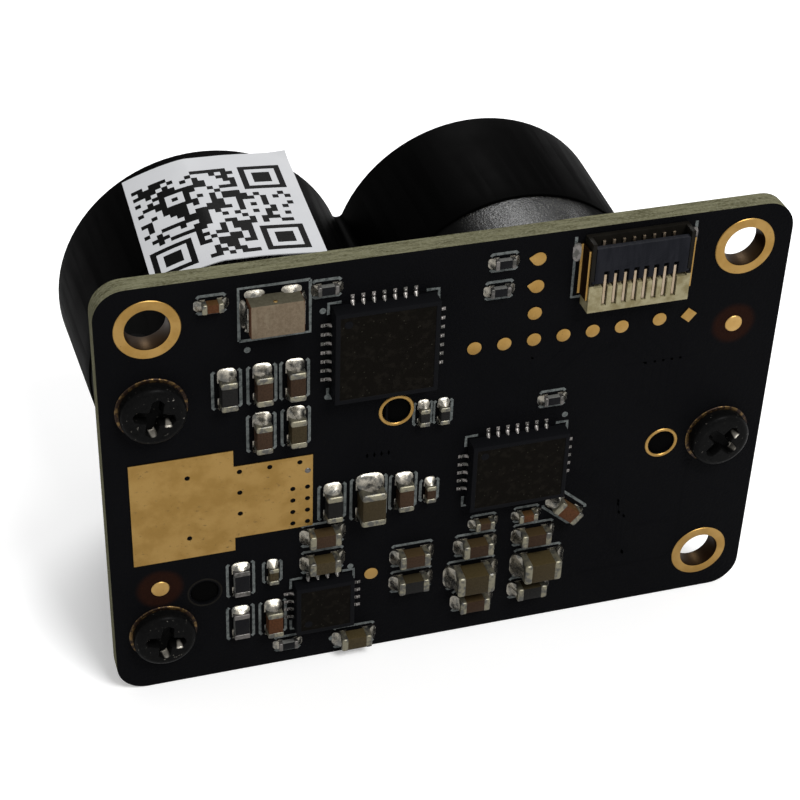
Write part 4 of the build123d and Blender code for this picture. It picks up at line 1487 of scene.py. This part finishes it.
# ==== Build ====
refinish("circuit_board", mask_black)
plate_holes()
plain_rings("screw_land_rings", "screw_lands", land_copper)
plain_rings("pin_hole_rings", "locating_hole_rings", gold)
bare_hole_rim()
probe_pads()
fiducial_dots()
refinish("heat_spreading_pad", pad_gold)
via_solder()
buried_tracks()
place_chips()
for package_node, first_corner in package_corners.items():
    package(package_node, first_corner)
    package_leads(package_node)
inductor()
legend()
screws()
cable_socket()
housing()
lens("transmit_lens", lens_glass)
lens("receive_lens", lens_glass)
retaining_rings()
optoelectronics()
code_label()


# ==== Floor, light and camera ====
def seen_directly(tree):
    """1 for what the camera sees, straight, mirrored or through glass, and 0 for light on the part."""
    camera, mirror, glass = (
        tree.node("ShaderNodeLightPath", out=name)
        for name in ("Is Camera Ray", "Is Glossy Ray", "Is Transmission Ray")
    )
    return (camera + mirror + glass).clamped()


def floor():
    """Pale floor under the board's lower edge; it looks white and keeps the shadow."""
    gap = 0.05 * MM
    bpy.ops.mesh.primitive_plane_add(size=4, location=(0, 0, cad_box[0].z - gap))
    ground = bpy.context.object
    ground.name = "floor"
    f = Finish("pale_floor", Specular_IOR_Level=0.1, Roughness=0.9)
    seen = seen_directly(f)
    speck = f.noise(0.05, detail=2)
    f.feed(Base_Color=f.blend(speck, grey(0.86), grey(0.88)))
    f.feed(Emission_Color=f.blend(seen, grey(0.0), grey(0.30)), Emission_Strength=1.0)
    ground.data.materials.append(f.material)


def softbox(name, direction, distance, size, power):
    """A square soft light that looks at the part."""
    data = bpy.data.lights.new(name, "AREA")
    data.shape, data.size, data.energy = "SQUARE", size, power
    lamp = bpy.data.objects.new(name, data)
    bpy.context.scene.collection.objects.link(lamp)
    aim = Vector(direction).normalized()
    lamp.location = aim * distance
    lamp.rotation_euler = aim.to_track_quat("Z", "Y").to_euler()


def studio():
    """Two overhead soft lights and an even pale surround that looks white."""
    softbox("overhead_front", (0.18, 0.74, 0.65), 0.45, 0.17, 1.5)
    softbox("overhead_back", (0.245, -0.56, 0.74), 0.45, 0.17, 1.5)
    world = bpy.data.worlds.new("surround")
    bpy.context.scene.world = world
    world.use_nodes = True
    sky = Tree(world.node_tree)
    backdrop = world.node_tree.nodes["Background"]
    backdrop.inputs["Color"].default_value = (1.0, 1.0, 1.0, 1.0)
    strength = 0.35 + 0.65 * seen_directly(sky)
    world.node_tree.links.new(strength.socket, backdrop.inputs["Strength"])
    bpy.context.scene.view_settings.view_transform = "Standard"


def camera():
    """Camera behind, above and to the left of the board, close and a little turned."""
    data = bpy.data.cameras.new("camera")
    data.lens, data.sensor_width = 89.90, 36.0
    data.shift_x, data.shift_y = 0.0148, 0.0090
    data.clip_start, data.clip_end = 0.001, 10.0
    eye = bpy.data.objects.new("camera", data)
    bpy.context.scene.collection.objects.link(eye)
    looks = Vector((0.245, 0.769, -0.590)).normalized()
    side = looks.cross(Vector((0.148, 0.572, 0.807))).normalized()
    up = side.cross(looks)
    turn = Matrix((side, up, -looks)).transposed().to_4x4()
    eye.matrix_world = Matrix.Translation(Vector((-25.67, -91.16, 59.06)) * MM) @ turn
    bpy.context.scene.camera = eye


floor()
studio()
camera()
